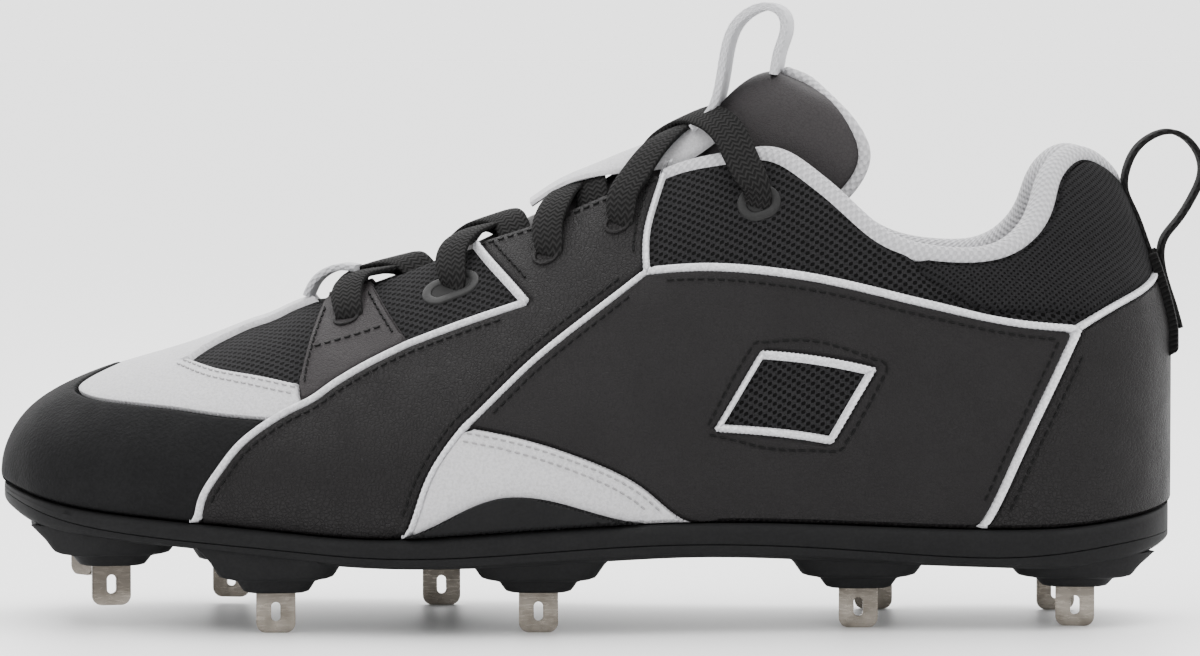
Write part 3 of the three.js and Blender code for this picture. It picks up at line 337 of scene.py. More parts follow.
def segment_distance(points, starts, ends):
    """Least distance from each point to any of the segments."""
    best = np.full(len(points), 1e9)
    for chunk in range(0, len(starts), 64):
        a, b = starts[chunk:chunk + 64], ends[chunk:chunk + 64]
        along = b - a
        length = np.maximum((along ** 2).sum(1), 1e-12)
        where = ((points[:, None, :] - a[None]) * along[None]).sum(2) / length[None]
        near = a[None] + np.clip(where, 0, 1)[..., None] * along[None]
        best = np.minimum(best, np.sqrt(((points[:, None, :] - near) ** 2).sum(2)).min(1))
    return best


def on_last(station, v, out=0.0):
    """Points on the last. v runs from -1 at the outer foot over 0 on the ridge to 1 at the inner foot."""
    station, v, out = np.broadcast_arrays(np.asarray(station, float), np.asarray(v, float), out)
    side = np.where(v < 0, -1.0, 1.0)
    around = 1 - np.abs(v)
    half = np.where(v < 0, last["outer"](station), last["inner"](station)) * BALL_WIDTH
    reach = half * np.maximum(0.1, 1 + out / np.maximum(half, 10))
    low = sole_line(station)
    top = np.maximum(low + 0.5, SOLE_LINE + HEEL_HEIGHT * last["ridge"](station) + out)
    foot = (1 - around) ** 3
    flank = 3 * around * (1 - around) ** 2
    roof = 3 * around ** 2 * (1 - around)
    wide = reach * (0.95 * foot + last["bulge"](station) * flank + last["crown"](station) * roof)
    z = low * foot + (low + (top - low) * last["rise"](station)) * flank + top * (roof + around ** 3)
    x = (LENGTH + 2 * out) * share_of(station) - out
    return np.stack([x - heel_lean(x, z), last["centre"](station) * BALL_WIDTH + side * wide, z], -1)


def up_last(station, around, side):
    """Points on one side of the last. around runs from 0 at the foot to 1 on the ridge."""
    return on_last(station, side * (1 - around) + side * 1e-9)


def foot_point(station, side, out=0.0):
    """Points on the last's lower edge."""
    return on_last(station, side * (1 - 1e-9), out)


def halved(test, low, high):
    """Closes in on the place between low and high up to which a test holds."""
    for _ in range(26):
        middle = (low + high) / 2
        holds = test(middle)
        low, high = np.where(holds, middle, low), np.where(holds, high, middle)
    return middle


def find_side(at, up, side):
    """Station and v of places in the side view."""
    at, up = np.asarray(at, float), np.asarray(up, float)
    x, z = at * LENGTH, SOLE_LINE + up * HEEL_HEIGHT
    station = station_of(at)
    for _ in range(5):
        around = halved(lambda middle: up_last(station, middle, side)[..., 2] < z,
                        np.zeros_like(x), np.ones_like(x))
        miss = x - up_last(station, around, side)[..., 0]
        station = station_of(share_of(station) + miss / LENGTH)
    return station, side * (1 - around)


def find_plan(at, across, side):
    """Station and v of places in the plan view, on the upper part of the last."""
    at, y = np.asarray(at, float), side * np.asarray(across, float) * BALL_WIDTH
    station = station_of(at)
    around = halved(lambda middle: side * up_last(station, middle, side)[..., 1] > side * y,
                    np.full_like(at, 0.35), np.ones_like(at))
    return station, side * (1 - around)


# Charts: flat maps of the last, in millimetres along and around it

GRID_S, GRID_T = 241, 81
STATIONS = np.linspace(0, 1, GRID_S)
SHARES = np.linspace(0, 1, GRID_T)
RUN_PLACE = -0.62


def arc_tables(side):
    """For each station: arc from the foot at even shares of around, and around at even shares of arc."""
    points = up_last(STATIONS[:, None], SHARES[None, :], side)
    steps = np.linalg.norm(np.diff(points, axis=1), axis=2)
    arc = np.concatenate([np.zeros((GRID_S, 1)), np.cumsum(steps, axis=1)], axis=1)
    return arc, np.stack([np.interp(SHARES * row[-1], row, SHARES) for row in arc])


TABLES = {side: arc_tables(side) for side, _ in SIDES}
RUN = run_of(on_last(STATIONS, RUN_PLACE))


def between(table, s, share):
    """A table over station and share, read between its entries."""
    row = np.clip(s * (GRID_S - 1), 0, GRID_S - 1.001)
    column = np.clip(share * (GRID_T - 1), 0, GRID_T - 1.001)
    i, k = row.astype(int), column.astype(int)
    down, right = row - i, column - k
    return ((table[i, k] * (1 - down) + table[i + 1, k] * down) * (1 - right)
            + (table[i, k + 1] * (1 - down) + table[i + 1, k + 1] * down) * right)


def own_side(is_outer, read):
    """What a function of the side gives for each place's own side."""
    return np.where(is_outer, read(OUTER), read(INNER))


def girth(s, is_outer):
    """Arc from the foot to the ridge."""
    return own_side(is_outer, lambda side: np.interp(s, STATIONS, TABLES[side][0][:, -1]))


class Chart:
    """A flat map of the last; what lies on the outer side is negative.

    In the top chart X is the run along the shoe and Y the arc from the ridge. In the chart from the heel
    X is the run from the heel's back line and Y the arc from the foot.
    """

    def __init__(self, from_heel):
        self.from_heel = from_heel

    def flat(self, s, v):
        s, v = np.asarray(s, float), np.asarray(v, float)
        is_outer = v < 0
        sign, run = np.where(is_outer, OUTER, INNER), np.interp(s, STATIONS, RUN)
        arc = own_side(is_outer, lambda side: between(TABLES[side][0], s, 1 - np.abs(v)))
        if self.from_heel:
            return np.stack([(RUN[-1] - run) * sign, arc], -1)
        return np.stack([run, sign * (girth(s, is_outer) - arc)], -1)

    def lift(self, flat):
        x, y = flat[..., 0], flat[..., 1]
        s = np.interp(RUN[-1] - np.abs(x) if self.from_heel else x, RUN, STATIONS)
        is_outer = (x if self.from_heel else y) < 0
        whole = np.maximum(girth(s, is_outer), 1e-6)
        share = np.clip(y / whole if self.from_heel else 1 - np.abs(y) / whole, 0, 1)
        around = own_side(is_outer, lambda side: between(TABLES[side][1], s, share))
        return s, np.where(is_outer, OUTER, INNER) * (1 - around)


TOP = Chart(from_heel=False)
BACK = Chart(from_heel=True)


def to_back(flat):
    """Moves points of the top chart to the chart from the heel."""
    return BACK.flat(*TOP.lift(flat))


# Soft creases: centre line in the side view, depth and half width in millimetres
CREASES = [
    {"line": [[0.236, 0.500], [0.262, 0.400], [0.270, 0.330]], "deep": 0.7, "half": 3.4},
    {"line": [[0.330, 0.300], [0.352, 0.200], [0.356, 0.090]], "deep": 0.8, "half": 5.0},
    {"line": [[0.290, 0.250], [0.304, 0.160], [0.300, 0.070]], "deep": 0.6, "half": 4.5},
    {"line": [[0.455, 0.330], [0.500, 0.400], [0.560, 0.470]], "deep": 0.6, "half": 6.0},
    {"line": [[0.560, 0.300], [0.600, 0.220], [0.660, 0.140], [0.740, 0.100]], "deep": 0.8, "half": 7.0},
    {"line": [[0.760, 0.480], [0.800, 0.380], [0.812, 0.250]], "deep": 0.7, "half": 6.0},
    {"line": [[0.870, 0.640], [0.915, 0.690], [0.960, 0.700]], "deep": 0.6, "half": 4.0},
    {"line": HEEL_SEAM, "deep": 0.9, "half": 1.3},
]
CREASE_FADE = 2.2

for crease in CREASES:
    crease["path"] = smooth_line(np.array(crease["line"]) * [LENGTH, HEEL_HEIGHT], 3)


def crease_depth(points):
    """How far the creases sink the surface at points of the last, in millimetres."""
    flat = np.stack([points[..., 0], points[..., 2] - SOLE_LINE], -1).reshape(-1, 2)
    sink = np.zeros(len(flat))
    for crease in CREASES:
        gap = segment_distance(flat, crease["path"][:-1], crease["path"][1:])
        share = np.clip(1 - gap / (CREASE_FADE * crease["half"]), 0, 1)
        sink += crease["deep"] * share * share * (3 - 2 * share)
    return sink.reshape(points.shape[:-1])


def skin(s, v, out=0.0):
    """The dressed surface: the last with its creases, at a distance from it."""
    return on_last(s, v, out - crease_depth(on_last(s, v)))


def surface_normal(s, v):
    step = 1e-3
    v = np.asarray(v, float)
    s = np.clip(np.asarray(s, float), 2e-3, 1 - 2e-3)
    along = on_last(s + step, v) - on_last(s - step, v)
    around = on_last(s, v + step) - on_last(s, v - step)
    return unit(np.cross(around, along))


# Mesh building

def link(mesh_name, vertices, faces, material, smooth_angle=50, uv=None, recalculate=True):
    """A piece from points in the source's millimetres, with chart places as its texture map."""
    mesh = bpy.data.meshes.new(mesh_name)
    points = (np.asarray(vertices, float) + SHIFT) * MM
    mesh.from_pydata([tuple(p) for p in points], [], [tuple(int(i) for i in f) for f in faces])
    mesh.update()
    if uv is not None:
        layer = mesh.uv_layers.new(name="chart")
        corners = np.zeros(len(mesh.loops), int)
        mesh.loops.foreach_get("vertex_index", corners)
        layer.data.foreach_set("uv", (np.asarray(uv)[corners] * MM).astype(np.float32).ravel())
    editor = bmesh.new()
    editor.from_mesh(mesh)
    if recalculate:
        bmesh.ops.recalc_face_normals(editor, faces=editor.faces)
    editor.to_mesh(mesh)
    editor.free()
    mesh.shade_smooth()
    mesh.set_sharp_from_angle(angle=math.radians(smooth_angle))
    mesh.materials.append(material)
    return put(mesh_name, mesh)


def ready(piece, slot, *nodes):
    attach(piece, "root")
    if nodes:
        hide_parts(*nodes)
    return piece


def tube_faces(count, around, closed=False):
    """Faces of a tube from rings of vertices. A tube that isn't closed in itself gets two end caps."""
    spans = [(i * around, (i + 1) % count * around) for i in range(count if closed else count - 1)]
    faces = [(here + k, here + (k + 1) % around, after + (k + 1) % around, after + k)
             for here, after in spans for k in range(around)]
    caps = [tuple(range(around)), tuple(range((count - 1) * around, count * around))]
    return faces if closed else faces + caps


def tube(tube_name, grid, material, closed=False, **looks):
    faces = tube_faces(*grid.shape[:2], closed)
    return link(tube_name, grid.reshape(-1, 3), faces, material, **looks)


def map_of(rows, columns):
    """Texture places of a grid from its rows' and its columns' places."""
    return np.stack(np.broadcast_arrays(rows[:, None], columns[None, :]), -1).reshape(-1, 2)


def inside(points, loop):
    """Even-odd test of points against a closed loop."""
    x, y = points[:, 0], points[:, 1]
    result = np.zeros(len(points), bool)
    for (x0, y0), (x1, y1) in zip(loop, np.roll(loop, -1, axis=0)):
        crosses = (y0 > y) != (y1 > y)
        with np.errstate(divide="ignore", invalid="ignore"):
            result ^= crosses & (x < (x1 - x0) * (y - y0) / (y1 - y0) + x0)
    return result


class Outline:
    """A closed line in a chart. Its stretches keep a clearance: little when plain, more under a piping."""

    JOIN = 0.4

    def __init__(self, chart=TOP):
        self.chart = chart
        self.points = []
        self.clear = []

    def add(self, flat, clear=0.12):
        flat = np.asarray(flat, float)
        if self.points and np.linalg.norm(self.points[-1] - flat[0]) < self.JOIN:
            flat = flat[1:]
        self.points += list(flat)
        self.clear += [clear] * len(flat)
        return self

    def loop(self):
        points, clear = np.array(self.points), np.array(self.clear)
        if np.linalg.norm(points[0] - points[-1]) < self.JOIN:
            points, clear = points[:-1], clear[:-1]
        return points, clear


def round_rise(x):
    """A quarter circle from 0 to 1."""
    return np.sqrt(np.maximum(0, 1 - (1 - np.clip(x, 0, 1)) ** 2))


def within(points, loops):
    """Which points lie in the first loop and in no other."""
    result = inside(points, loops[0][0])
    for hole, _ in loops[1:]:
        result &= ~inside(points, hole)
    return result


def bounding_edges(loops):
    """Starts, ends and clearances of the edges that bound the panel, without parts cut off by a hole."""
    found = []
    for index, (points, clear) in enumerate(loops):
        following = np.roll(points, -1, axis=0)
        middle = (points + following) / 2
        if index == 0:
            real = np.ones(len(points), bool)
            for hole, _ in loops[1:]:
                real &= ~inside(middle, hole)
        else:
            real = inside(middle, loops[0][0])
        found.append((points[real], following[real], clear[real]))
    return [np.concatenate(each) for each in zip(*found)]


BEVEL_RINGS = (0.0, 0.22, 0.5, 0.9)
ROW_SHARE = 0.866


def seed_points(loops, edges, bevel, step):
    """Places for the mesh's vertices: rings over the bevel beside each edge, and a staggered grid."""
    starts, ends, clears = edges
    seeds = []
    for depth in BEVEL_RINGS:
        reach = clears + bevel * depth + (0.02 if depth == 0 else 0)
        for turn in (1, -1):
            ring = (starts + ends) / 2 + left_of(ends - starts) * (turn * reach)[:, None]
            ring = ring[within(ring, loops)]
            wanted = bevel * depth + clears.min()
            seeds.append(ring[segment_distance(ring, starts, ends) > 0.9 * wanted])
    least, most = loops[0][0].min(0), loops[0][0].max(0)
    grid = np.array([[x + (k % 2) * step / 2, y]
                     for k, y in enumerate(np.arange(least[1], most[1], step * ROW_SHARE))
                     for x in np.arange(least[0], most[0], step)])
    grid = grid[within(grid, loops)]
    seeds.append(grid[segment_distance(grid, starts, ends) > clears.max() + bevel + 0.3])
    return np.concatenate(seeds)


def triangulated(loops, seeds):
    vertices, edges = [], []
    for points, _ in loops:
        first = len(vertices)
        vertices += [Vector(p) for p in points]
        edges += [(first + k, first + (k + 1) % len(points)) for k in range(len(points))]
    vertices += [Vector(p) for p in seeds]
    flat, _, faces, _, _, _ = delaunay_2d_cdt(vertices, edges, [], 1, 1e-4)
    flat, faces = (np.array([tuple(each) for each in some]) for some in (flat, faces))
    faces = faces[within(flat[faces].mean(axis=1), loops)]
    used, numbers = np.unique(faces, return_inverse=True)
    return flat[used], numbers.reshape(faces.shape)


def edge_rise(flat, edges, bevel, lip):
    """Share of the panel's height at each point: the lip at an edge, then a round bevel."""
    starts, ends, clears = edges
    rise = np.ones(len(flat))
    for clear in np.unique(clears):
        here = clears == clear
        gap = segment_distance(flat, starts[here], ends[here])
        sunk = 1.4 * (gap < clear - 0.01)
        rise = np.minimum(rise, lip + (1 - lip) * round_rise((gap - clear) / bevel) - sunk)
    return rise


def open_edges(faces):
    """Edges with one face only, in that face's direction."""
    edges = [pair for a, b, c in faces.tolist() for pair in ((a, b), (b, c), (c, a))]
    known = set(edges)
    return [(a, b) for a, b in edges if (b, a) not in known]


def panel(panel_name, outline, material, low, high, cutouts=(), step=2.6, bevel=0.9, lip=0.35, shell=0,
          puff=0.0):
    """A skin over the last whose rounded edges drop to low. A shell's thickness gives it an inner face."""
    loops = [each.loop() for each in (outline, *cutouts)]
    edges = bounding_edges(loops)
    flat, faces = triangulated(loops, seed_points(loops, edges, bevel, step))
    crown = puff * (1 - np.exp(-segment_distance(flat, *edges[:2]) / 6)) if puff else 0.0
    out = np.maximum(low - 0.25, low + (high - low) * edge_rise(flat, edges, bevel, lip)) + crown
    s, v = outline.chart.lift(flat)
    rim = open_edges(faces)
    rim_points = sorted({p for pair in rim for p in pair})
    below = {p: len(flat) + k for k, p in enumerate(rim_points)}
    points = [skin(s, v, out), skin(s[rim_points], v[rim_points], low - shell)]
    uv = [flat, flat[rim_points]]
    all_faces = faces.tolist() + [(b, a, below[a], below[b]) for a, b in rim]
    if shell:
        first = len(flat) + len(rim_points)
        mapped = [below.get(k, first + k) for k in range(len(flat))]
        points.append(skin(s, v, low - shell))
        uv.append(flat)
        all_faces += [(mapped[a], mapped[c], mapped[b]) for a, b, c in faces]
    return link(panel_name, np.concatenate(points), all_faces, material, uv=np.concatenate(uv),
                recalculate=False)


def seam(points, side):
    """A smooth line of the side view, as points of the top chart."""
    return smooth_line(TOP.flat(*find_side(*np.array(points).T, side)))


def foot_line(start, end, side):
    """The foot of the last between two shares of the length, in the top chart."""
    s = np.linspace(station_of(start), station_of(end), 120)
    return even_line(TOP.flat(s, np.full_like(s, side * (1 - 1e-6))), FOOT_STEP)


THROAT_START, THROAT_END, THROAT_ROUND = 0.268, 0.566, 0.277


def throat_line(side):
    """The edge of the throat's opening, rounded at its front."""
    table = np.array(THROAT)
    at = np.linspace(THROAT_START, THROAT_END, 60)
    across = natural_curve(table[1:, 0], table[1:, 1])(np.maximum(at, THROAT_ROUND))
    front = np.clip((at - THROAT_START) / 0.009, 0, 1)
    return even_line(TOP.flat(*find_plan(at, across * np.sqrt(front * (2 - front)), side)))


def collar_line(side):
    s, v = find_side(*np.array(COLLAR).T, side)
    return smooth_line(TOP.flat(np.minimum(s, 1 - 1e-5), v))


def nearest(line, point):
    return int(np.argmin(((line - np.asarray(point)) ** 2).sum(1)))


def trimmed(line, throat):
    """Leaves out what of a seam lies in the throat's opening, and ends it on the throat's edge."""
    edge = np.interp(line[:, 0], throat[:, 0], np.abs(throat[:, 1]))
    kept = line[(np.abs(line[:, 1]) > edge + 0.4) | (line[:, 0] > throat[-1, 0])]
    top_first = np.abs(line[0, 1]) < np.abs(line[-1, 1])
    joint = throat[nearest(throat, kept[0] if top_first else kept[-1])][None]
    return np.concatenate([joint, kept] if top_first else [kept, joint])


def stretch(line, start, end):
    """The stretch of a line between the points nearest to two others, in that direction."""
    i, k = nearest(line, start), nearest(line, end)
    return line[i:k + 1] if i <= k else line[k:i + 1][::-1]


# Sweeps: strips, ribbons and rounded ropes

def frames(path, outward):
    """Unit tangents, sideways and outward directions along a path of solid points."""
    tangent = unit(np.gradient(path, axis=0))
    across = unit(np.cross(outward, tangent))
    return tangent, across, np.cross(tangent, across)


def sweep(sweep_name, path, outward, profile, material, scale=None, closed=False, angle=50):
    """Carries a closed profile of (sideways, outwards) places along a path."""
    _, across, out = frames(path, outward)
    profile = np.asarray(profile, float)
    scale = np.ones((len(path), 2)) if scale is None else scale
    rings = (path[:, None, :] + across[:, None, :] * (profile[None, :, :1] * scale[:, None, :1])
             + out[:, None, :] * (profile[None, :, 1:] * scale[:, None, 1:]))
    return tube(sweep_name, rings, material, closed, smooth_angle=angle,
                uv=map_of(run_of(path), run_of(profile)))


def rounded_box(wide, thick, corner, steps=3):
    """A rounded rectangle as a profile, anticlockwise."""
    result = []
    for k, (x, y) in enumerate([(1, 1), (-1, 1), (-1, -1), (1, -1)]):
        for angle in (math.pi / 2 * (k + j / steps) for j in range(steps + 1)):
            result.append((x * (wide / 2 - corner) + corner * math.cos(angle),
                           y * (thick / 2 - corner) + corner * math.sin(angle)))
    return result


# Rings of one stitch: share of its length, share of its thickness
STITCH_RINGS = ((-0.5, 0.35), (-0.38, 0.9), (0.0, 1.1), (0.38, 0.9), (0.5, 0.35))
STITCH_CORNERS = 6
STITCH_FACES = tube_faces(len(STITCH_RINGS), STITCH_CORNERS)


class Stitches:
    """All stitches of one thread, gathered in one mesh."""

    def __init__(self, thick, length, pitch):
        self.thick, self.length, self.pitch = thick, length, pitch
        self.vertices, self.faces = [], []

    def solid_line(self, path, outward):
        places = even_line(path, self.pitch)
        keys = run_of(path)
        normal = resampled(outward, keys, np.linspace(0, keys[-1], len(places)))
        for place, tangent, across, out in zip(places, *frames(places, normal)):
            first = len(self.vertices)
            for share, size in STITCH_RINGS:
                dip = self.thick * 1.6 * (abs(share) * 2) ** 3
                for angle in np.arange(STITCH_CORNERS) * 2 * math.pi / STITCH_CORNERS:
                    self.vertices.append(place + out * 0.08 + tangent * share * self.length
                                         + across * self.thick * size * math.cos(angle)
                                         + out * (self.thick * size * math.sin(angle) - dip))
            self.faces += [tuple(first + k for k in face) for face in STITCH_FACES]

    def chart_line(self, flat, ends=1.0):
        """A row of stitches over the panels, shortened by ends at both ends and where the sole hides it."""
        skip = int(round(ends / LINE_STEP))
        flat = flat[skip:len(flat) - skip]
        if len(flat) < 4:
            return
        s, v = TOP.lift(flat)
        clear = np.nonzero(on_last(s, v)[:, 2] > sole_line(s) + SOLE_HIDES)[0]
        if len(clear) < 4:
            return
        s, v = s[clear[0]:clear[-1] + 1], v[clear[0]:clear[-1] + 1]
        self.solid_line(skin(s, v, OVERLAY + 0.02), surface_normal(s, v))

    def build(self, name, material):
        return link(name, self.vertices, self.faces, material, smooth_angle=70)


# Materials

class Nodes:
    """A material, and short calls for its node tree."""

    def __init__(self, name, color, roughness, metallic=0.0, **sockets):
        self.material = bpy.data.materials.new(name)
        self.material.use_nodes = True
        self.tree = self.material.node_tree
        self.shader = self.tree.nodes["Principled BSDF"]
        values = {"Base Color": (*color, 1), "Roughness": roughness, "Metallic": metallic, **sockets}
        for key, value in values.items():
            self.shader.inputs[key.replace("_", " ")].default_value = value
        self.object = self.add("TexCoord").outputs["Object"]
        self.bumps = None

    def add(self, kind, sockets=None, **settings):
        """A new node. Its sockets take a value each, or what comes out of another node."""
        node = self.tree.nodes.new("ShaderNode" + kind)
        for key, value in settings.items():
            setattr(node, key, value)
        for socket, value in (sockets or {}).items():
            if isinstance(value, bpy.types.NodeSocket):
                self.tree.links.new(value, node.inputs[socket])
            else:
                node.inputs[socket].default_value = value
        return node

    def feed(self, socket, value):
        self.tree.links.new(value, self.shader.inputs[socket])

    def parts(self, vector):
        return self.add("SeparateXYZ", {0: vector}).outputs

    def chart(self):
        return self.add("UVMap", uv_map="chart").outputs["UV"]

    def math(self, operation, *values):
        return self.add("Math", dict(enumerate(values)), operation=operation).outputs[0]

    def noise(self, scale, detail=3, rough=0.5, vector=None):
        sockets = {"Vector": vector or self.object, "Scale": scale, "Detail": detail, "Roughness": rough}
        return self.add("TexNoise", sockets).outputs["Fac"]

    def ramp(self, value, low, high, to_low=0.0, to_high=1.0):
        sockets = dict(enumerate((value, low, high, to_low, to_high)))
        return self.add("MapRange", sockets, interpolation_type="SMOOTHSTEP").outputs[0]

    def mix(self, share, first, second):
        first, second = (each if isinstance(each, bpy.types.NodeSocket) else (*each, 1)
                         for each in (first, second))
        return self.add("Mix", {0: share, 6: first, 7: second}, data_type="RGBA").outputs[2]

    def bump(self, height, distance, strength=1.0):
        """Raises the surface over the bumps that are there already."""
        sockets = {"Height": height, "Distance": distance, "Strength": strength}
        if self.bumps is not None:
            sockets["Normal"] = self.bumps
        self.bumps = self.add("Bump", sockets).outputs[0]
        self.feed("Normal", self.bumps)

    def uneven(self, scale, detail, roughness):
        spots = self.noise(scale, detail)
        self.feed("Roughness", self.ramp(spots, 0.3, 0.7, roughness - 0.03, roughness + 0.05))

    def wave(self, value, pitch):
        return self.math("SINE", self.math("MULTIPLY", value, 2 * math.pi / pitch))

    def weave(self, pitch_x, pitch_y):
        """Staggered dots over the chart, from -1 to 1."""
        parts = self.parts(self.chart())
        return self.math("MULTIPLY", self.wave(parts[0], pitch_x), self.wave(parts[1], pitch_y))

    def woven(self, pattern, color, shade, tones, relief, depth, fuzz=2400, fuzz_strength=0.5):
        """Colours and raises a woven pattern, with a fine fuzz over it."""
        self.feed("Base Color", self.mix(self.ramp(pattern, *tones), times(color, shade), color))
        self.bump(self.ramp(pattern, *relief), depth)
        self.bump(self.noise(fuzz), 0.0001, fuzz_strength)
        return self.material


def times(color, share, more=0.0):
    return tuple(c * share + more for c in color)


def braided(name, color, pitch=0.0015, column=0.0011, shade=0.35):
    """A flat braid: columns of slanted strands that meet in chevrons."""
    made = Nodes(name, color, 0.9, Specular_IOR_Level=0.12)
    parts = made.parts(made.chart())
    strands = made.wave(made.math("ADD", parts[0], made.math("PINGPONG", parts[1], column)), pitch)
    return made.woven(strands, color, shade, (-0.9, 0.5), (-0.9, 0.9), 0.00035)


def leather(name, color, grain=0.00013, roughness=0.52, scale=1050, wear=0.0012, drift=0.0011):
    """Pebbled leather: dark lines between cells whose places drift."""
    made = Nodes(name, color, roughness, Specular_IOR_Level=0.13)
    sockets = {0: made.noise(700, 2), 1: (drift, drift, drift), 2: made.object}
    places = made.add("VectorMath", sockets, operation="MULTIPLY_ADD").outputs[0]
    cells = made.add("TexVoronoi", {"Vector": places, "Scale": scale, "Randomness": 1.0},
                     feature="DISTANCE_TO_EDGE")
    pebbles = made.ramp(cells.outputs["Distance"], 0.0, 0.16)
    tinted = made.mix(made.ramp(made.noise(60, 4), 0.3, 0.75), color, times(color, 1.08, wear))
    made.feed("Base Color", made.mix(pebbles, times(color, 0.78), tinted))
    made.uneven(140, 3, roughness)
    made.bump(pebbles, grain)
    made.bump(made.noise(420, 4, rough=0.6), 0.00012, 0.5)
    return made.material


def suede(name, color):
    made = Nodes(name, color, 0.95, Sheen_Weight=0.25, Sheen_Roughness=0.5, Specular_IOR_Level=0.2)
    nap = made.noise(1500, 4, rough=0.7)
    made.feed("Base Color", made.mix(made.ramp(nap, 0.35, 0.62), times(color, 0.80), color))
    made.bump(nap, 0.00030, 0.8)
    return made.material


# Painted shade: the near-black colour inside the knit's holes.
MESH_HOLE_SHADE = (0.0015, 0.0015, 0.0015)


def mesh_fabric(name, color, pitch, hole_share, hole_depth=0.0006):
    """A knit with a honeycomb of round holes over its chart, painted near-black inside as shade."""
    made = Nodes(name, color, 0.85, Specular_IOR_Level=0.10)
    holes = made.ramp(made.weave(1.15 * pitch, pitch), hole_share, hole_share + 0.3)
    yarn = made.noise(2600, 2)
    threads = made.mix(made.ramp(yarn, 0.35, 0.65), color, times(color, 1.7))
    # The holes get painted shade in place of the yarn's colour.
    made.feed("Base Color", made.mix(holes, threads, MESH_HOLE_SHADE))
    made.bump(made.math("SUBTRACT", 1.0, holes), hole_depth)
    made.bump(yarn, 0.00010, 0.6)
    return made.material


def knit(name, color, pitch):
    made = Nodes(name, color, 0.95, Sheen_Weight=0.3, Specular_IOR_Level=0.2)
    dots = made.weave(pitch * 1.6, pitch * 1.6)
    return made.woven(dots, color, 0.76, (-0.6, 0.6), (-0.8, 0.8), 0.00034, 1600, 0.6)


def webbing(name, color, pitch=0.0012, shade=0.45):
    made = Nodes(name, color, 0.9, Specular_IOR_Level=0.12)
    return made.woven(made.weave(pitch * 2, pitch), color, shade, (-0.7, 0.7), (-0.9, 0.9), 0.0003)


def rubber(name, color, roughness, grain_scale=1400, grain=0.00006, specular=0.2):
    """Rubber or plastic with a fine speckle."""
    made = Nodes(name, color, roughness, Specular_IOR_Level=specular)
    speckle = made.noise(grain_scale)
    made.feed("Base Color", made.mix(made.ramp(speckle, 0.35, 0.68), times(color, 0.85), times(color, 1.2)))
    made.uneven(90, 4, roughness)
    made.bump(speckle, grain, 0.8)
    return made.material


def metal(name, color, bright, dull, painted_root_shade):
    """Brushed nickel, darker towards the root of the spike with painted shade from the stud above it."""
    made = Nodes(name, color, 0.32, 1.0)
    brushed = made.add("Mapping", {"Vector": made.object, "Scale": (1.0, 1.0, 6.0)}).outputs[0]
    scratch = made.noise(400, 4, vector=brushed)
    worn = made.mix(made.ramp(made.noise(160, 4), 0.35, 0.7), bright, dull)
    height = made.parts(made.object)[2]
    # Painted shade: the colour darkens with height towards the stud, where the sole shades the spike.
    made.feed("Base Color", made.mix(made.ramp(height, 0.004, 0.012), worn, painted_root_shade))
    made.feed("Roughness", made.ramp(scratch, 0.3, 0.7, 0.22, 0.45))
    made.bump(scratch, 0.00003, 0.5)
    return made.material


LEATHER = leather("black_leather", (0.0112, 0.0103, 0.0106))
QUARTER_LEATHER = leather("quarter_leather", (0.0122, 0.0112, 0.0116), grain=0.00007, scale=1350)
TAB_LEATHER = leather("tab_leather", (0.029, 0.026, 0.027), grain=0.00008, scale=1100)
TONGUE_LEATHER = leather("tongue_leather", (0.036, 0.033, 0.034), grain=0.00005, scale=1200, roughness=0.55)
TOE_SKIN = rubber("toe_skin", (0.0062, 0.0062, 0.0066), 0.8, grain_scale=1300, grain=0.0004, specular=0.12)
SOLE_RUBBER = rubber("sole_rubber", (0.0068, 0.0068, 0.0072), 0.66, specular=0.14)
SUEDE = suede("white_suede", (0.56, 0.555, 0.57))
PIPE = rubber("white_piping", (0.62, 0.62, 0.64), 0.45, grain=0.00002)
MESH = mesh_fabric("black_mesh", (0.0115, 0.0112, 0.0118), 0.0021, hole_share=0.08)
FINE_MESH = mesh_fabric("fine_mesh", (0.0090, 0.0088, 0.0093), 0.00145, hole_depth=0.0003, hole_share=0.3)
LINING = knit("lining_knit", (0.53, 0.525, 0.545), 0.0013)
TONGUE_EDGE = knit("tongue_knit", (0.50, 0.495, 0.51), 0.0014)
BLACK_WEB = webbing("black_webbing", (0.012, 0.0115, 0.0115))
WHITE_WEB = webbing("white_webbing", (0.58, 0.58, 0.60), shade=0.85)
LACE_CLOTH = braided("lace_cloth", (0.0165, 0.0160, 0.0160))
THREAD = Nodes("black_thread", (0.003, 0.003, 0.003), 0.7, Specular_IOR_Level=0.15).material
PALE_THREAD = Nodes("pale_thread", (0.27, 0.265, 0.27), 0.8).material
RIM_FINISH = rubber("eyelet_finish", (0.30, 0.295, 0.30), 0.35, specular=0.5)
BLACK_PLASTIC = rubber("eyelet_flange_finish", (0.012, 0.012, 0.012), 0.45)
# Painted shade: a near-black sheet laid across each lace hole for the shadow inside it.
HOLE_SHADE_SHEET = Nodes("painted_hole_shade", (0.010, 0.010, 0.010), 0.95).material
INSOLE_CLOTH = knit("insole_cloth", (0.05, 0.05, 0.052), 0.0013)
# Nickel tones, and a dark brown painted shade for the root of the spike under the stud.
SPIKE_METAL = metal("spike_nickel", (0.34, 0.31, 0.27), bright=(0.29, 0.262, 0.225),
                    dull=(0.165, 0.146, 0.122), painted_root_shade=(0.10, 0.088, 0.075))


# The upper's skins

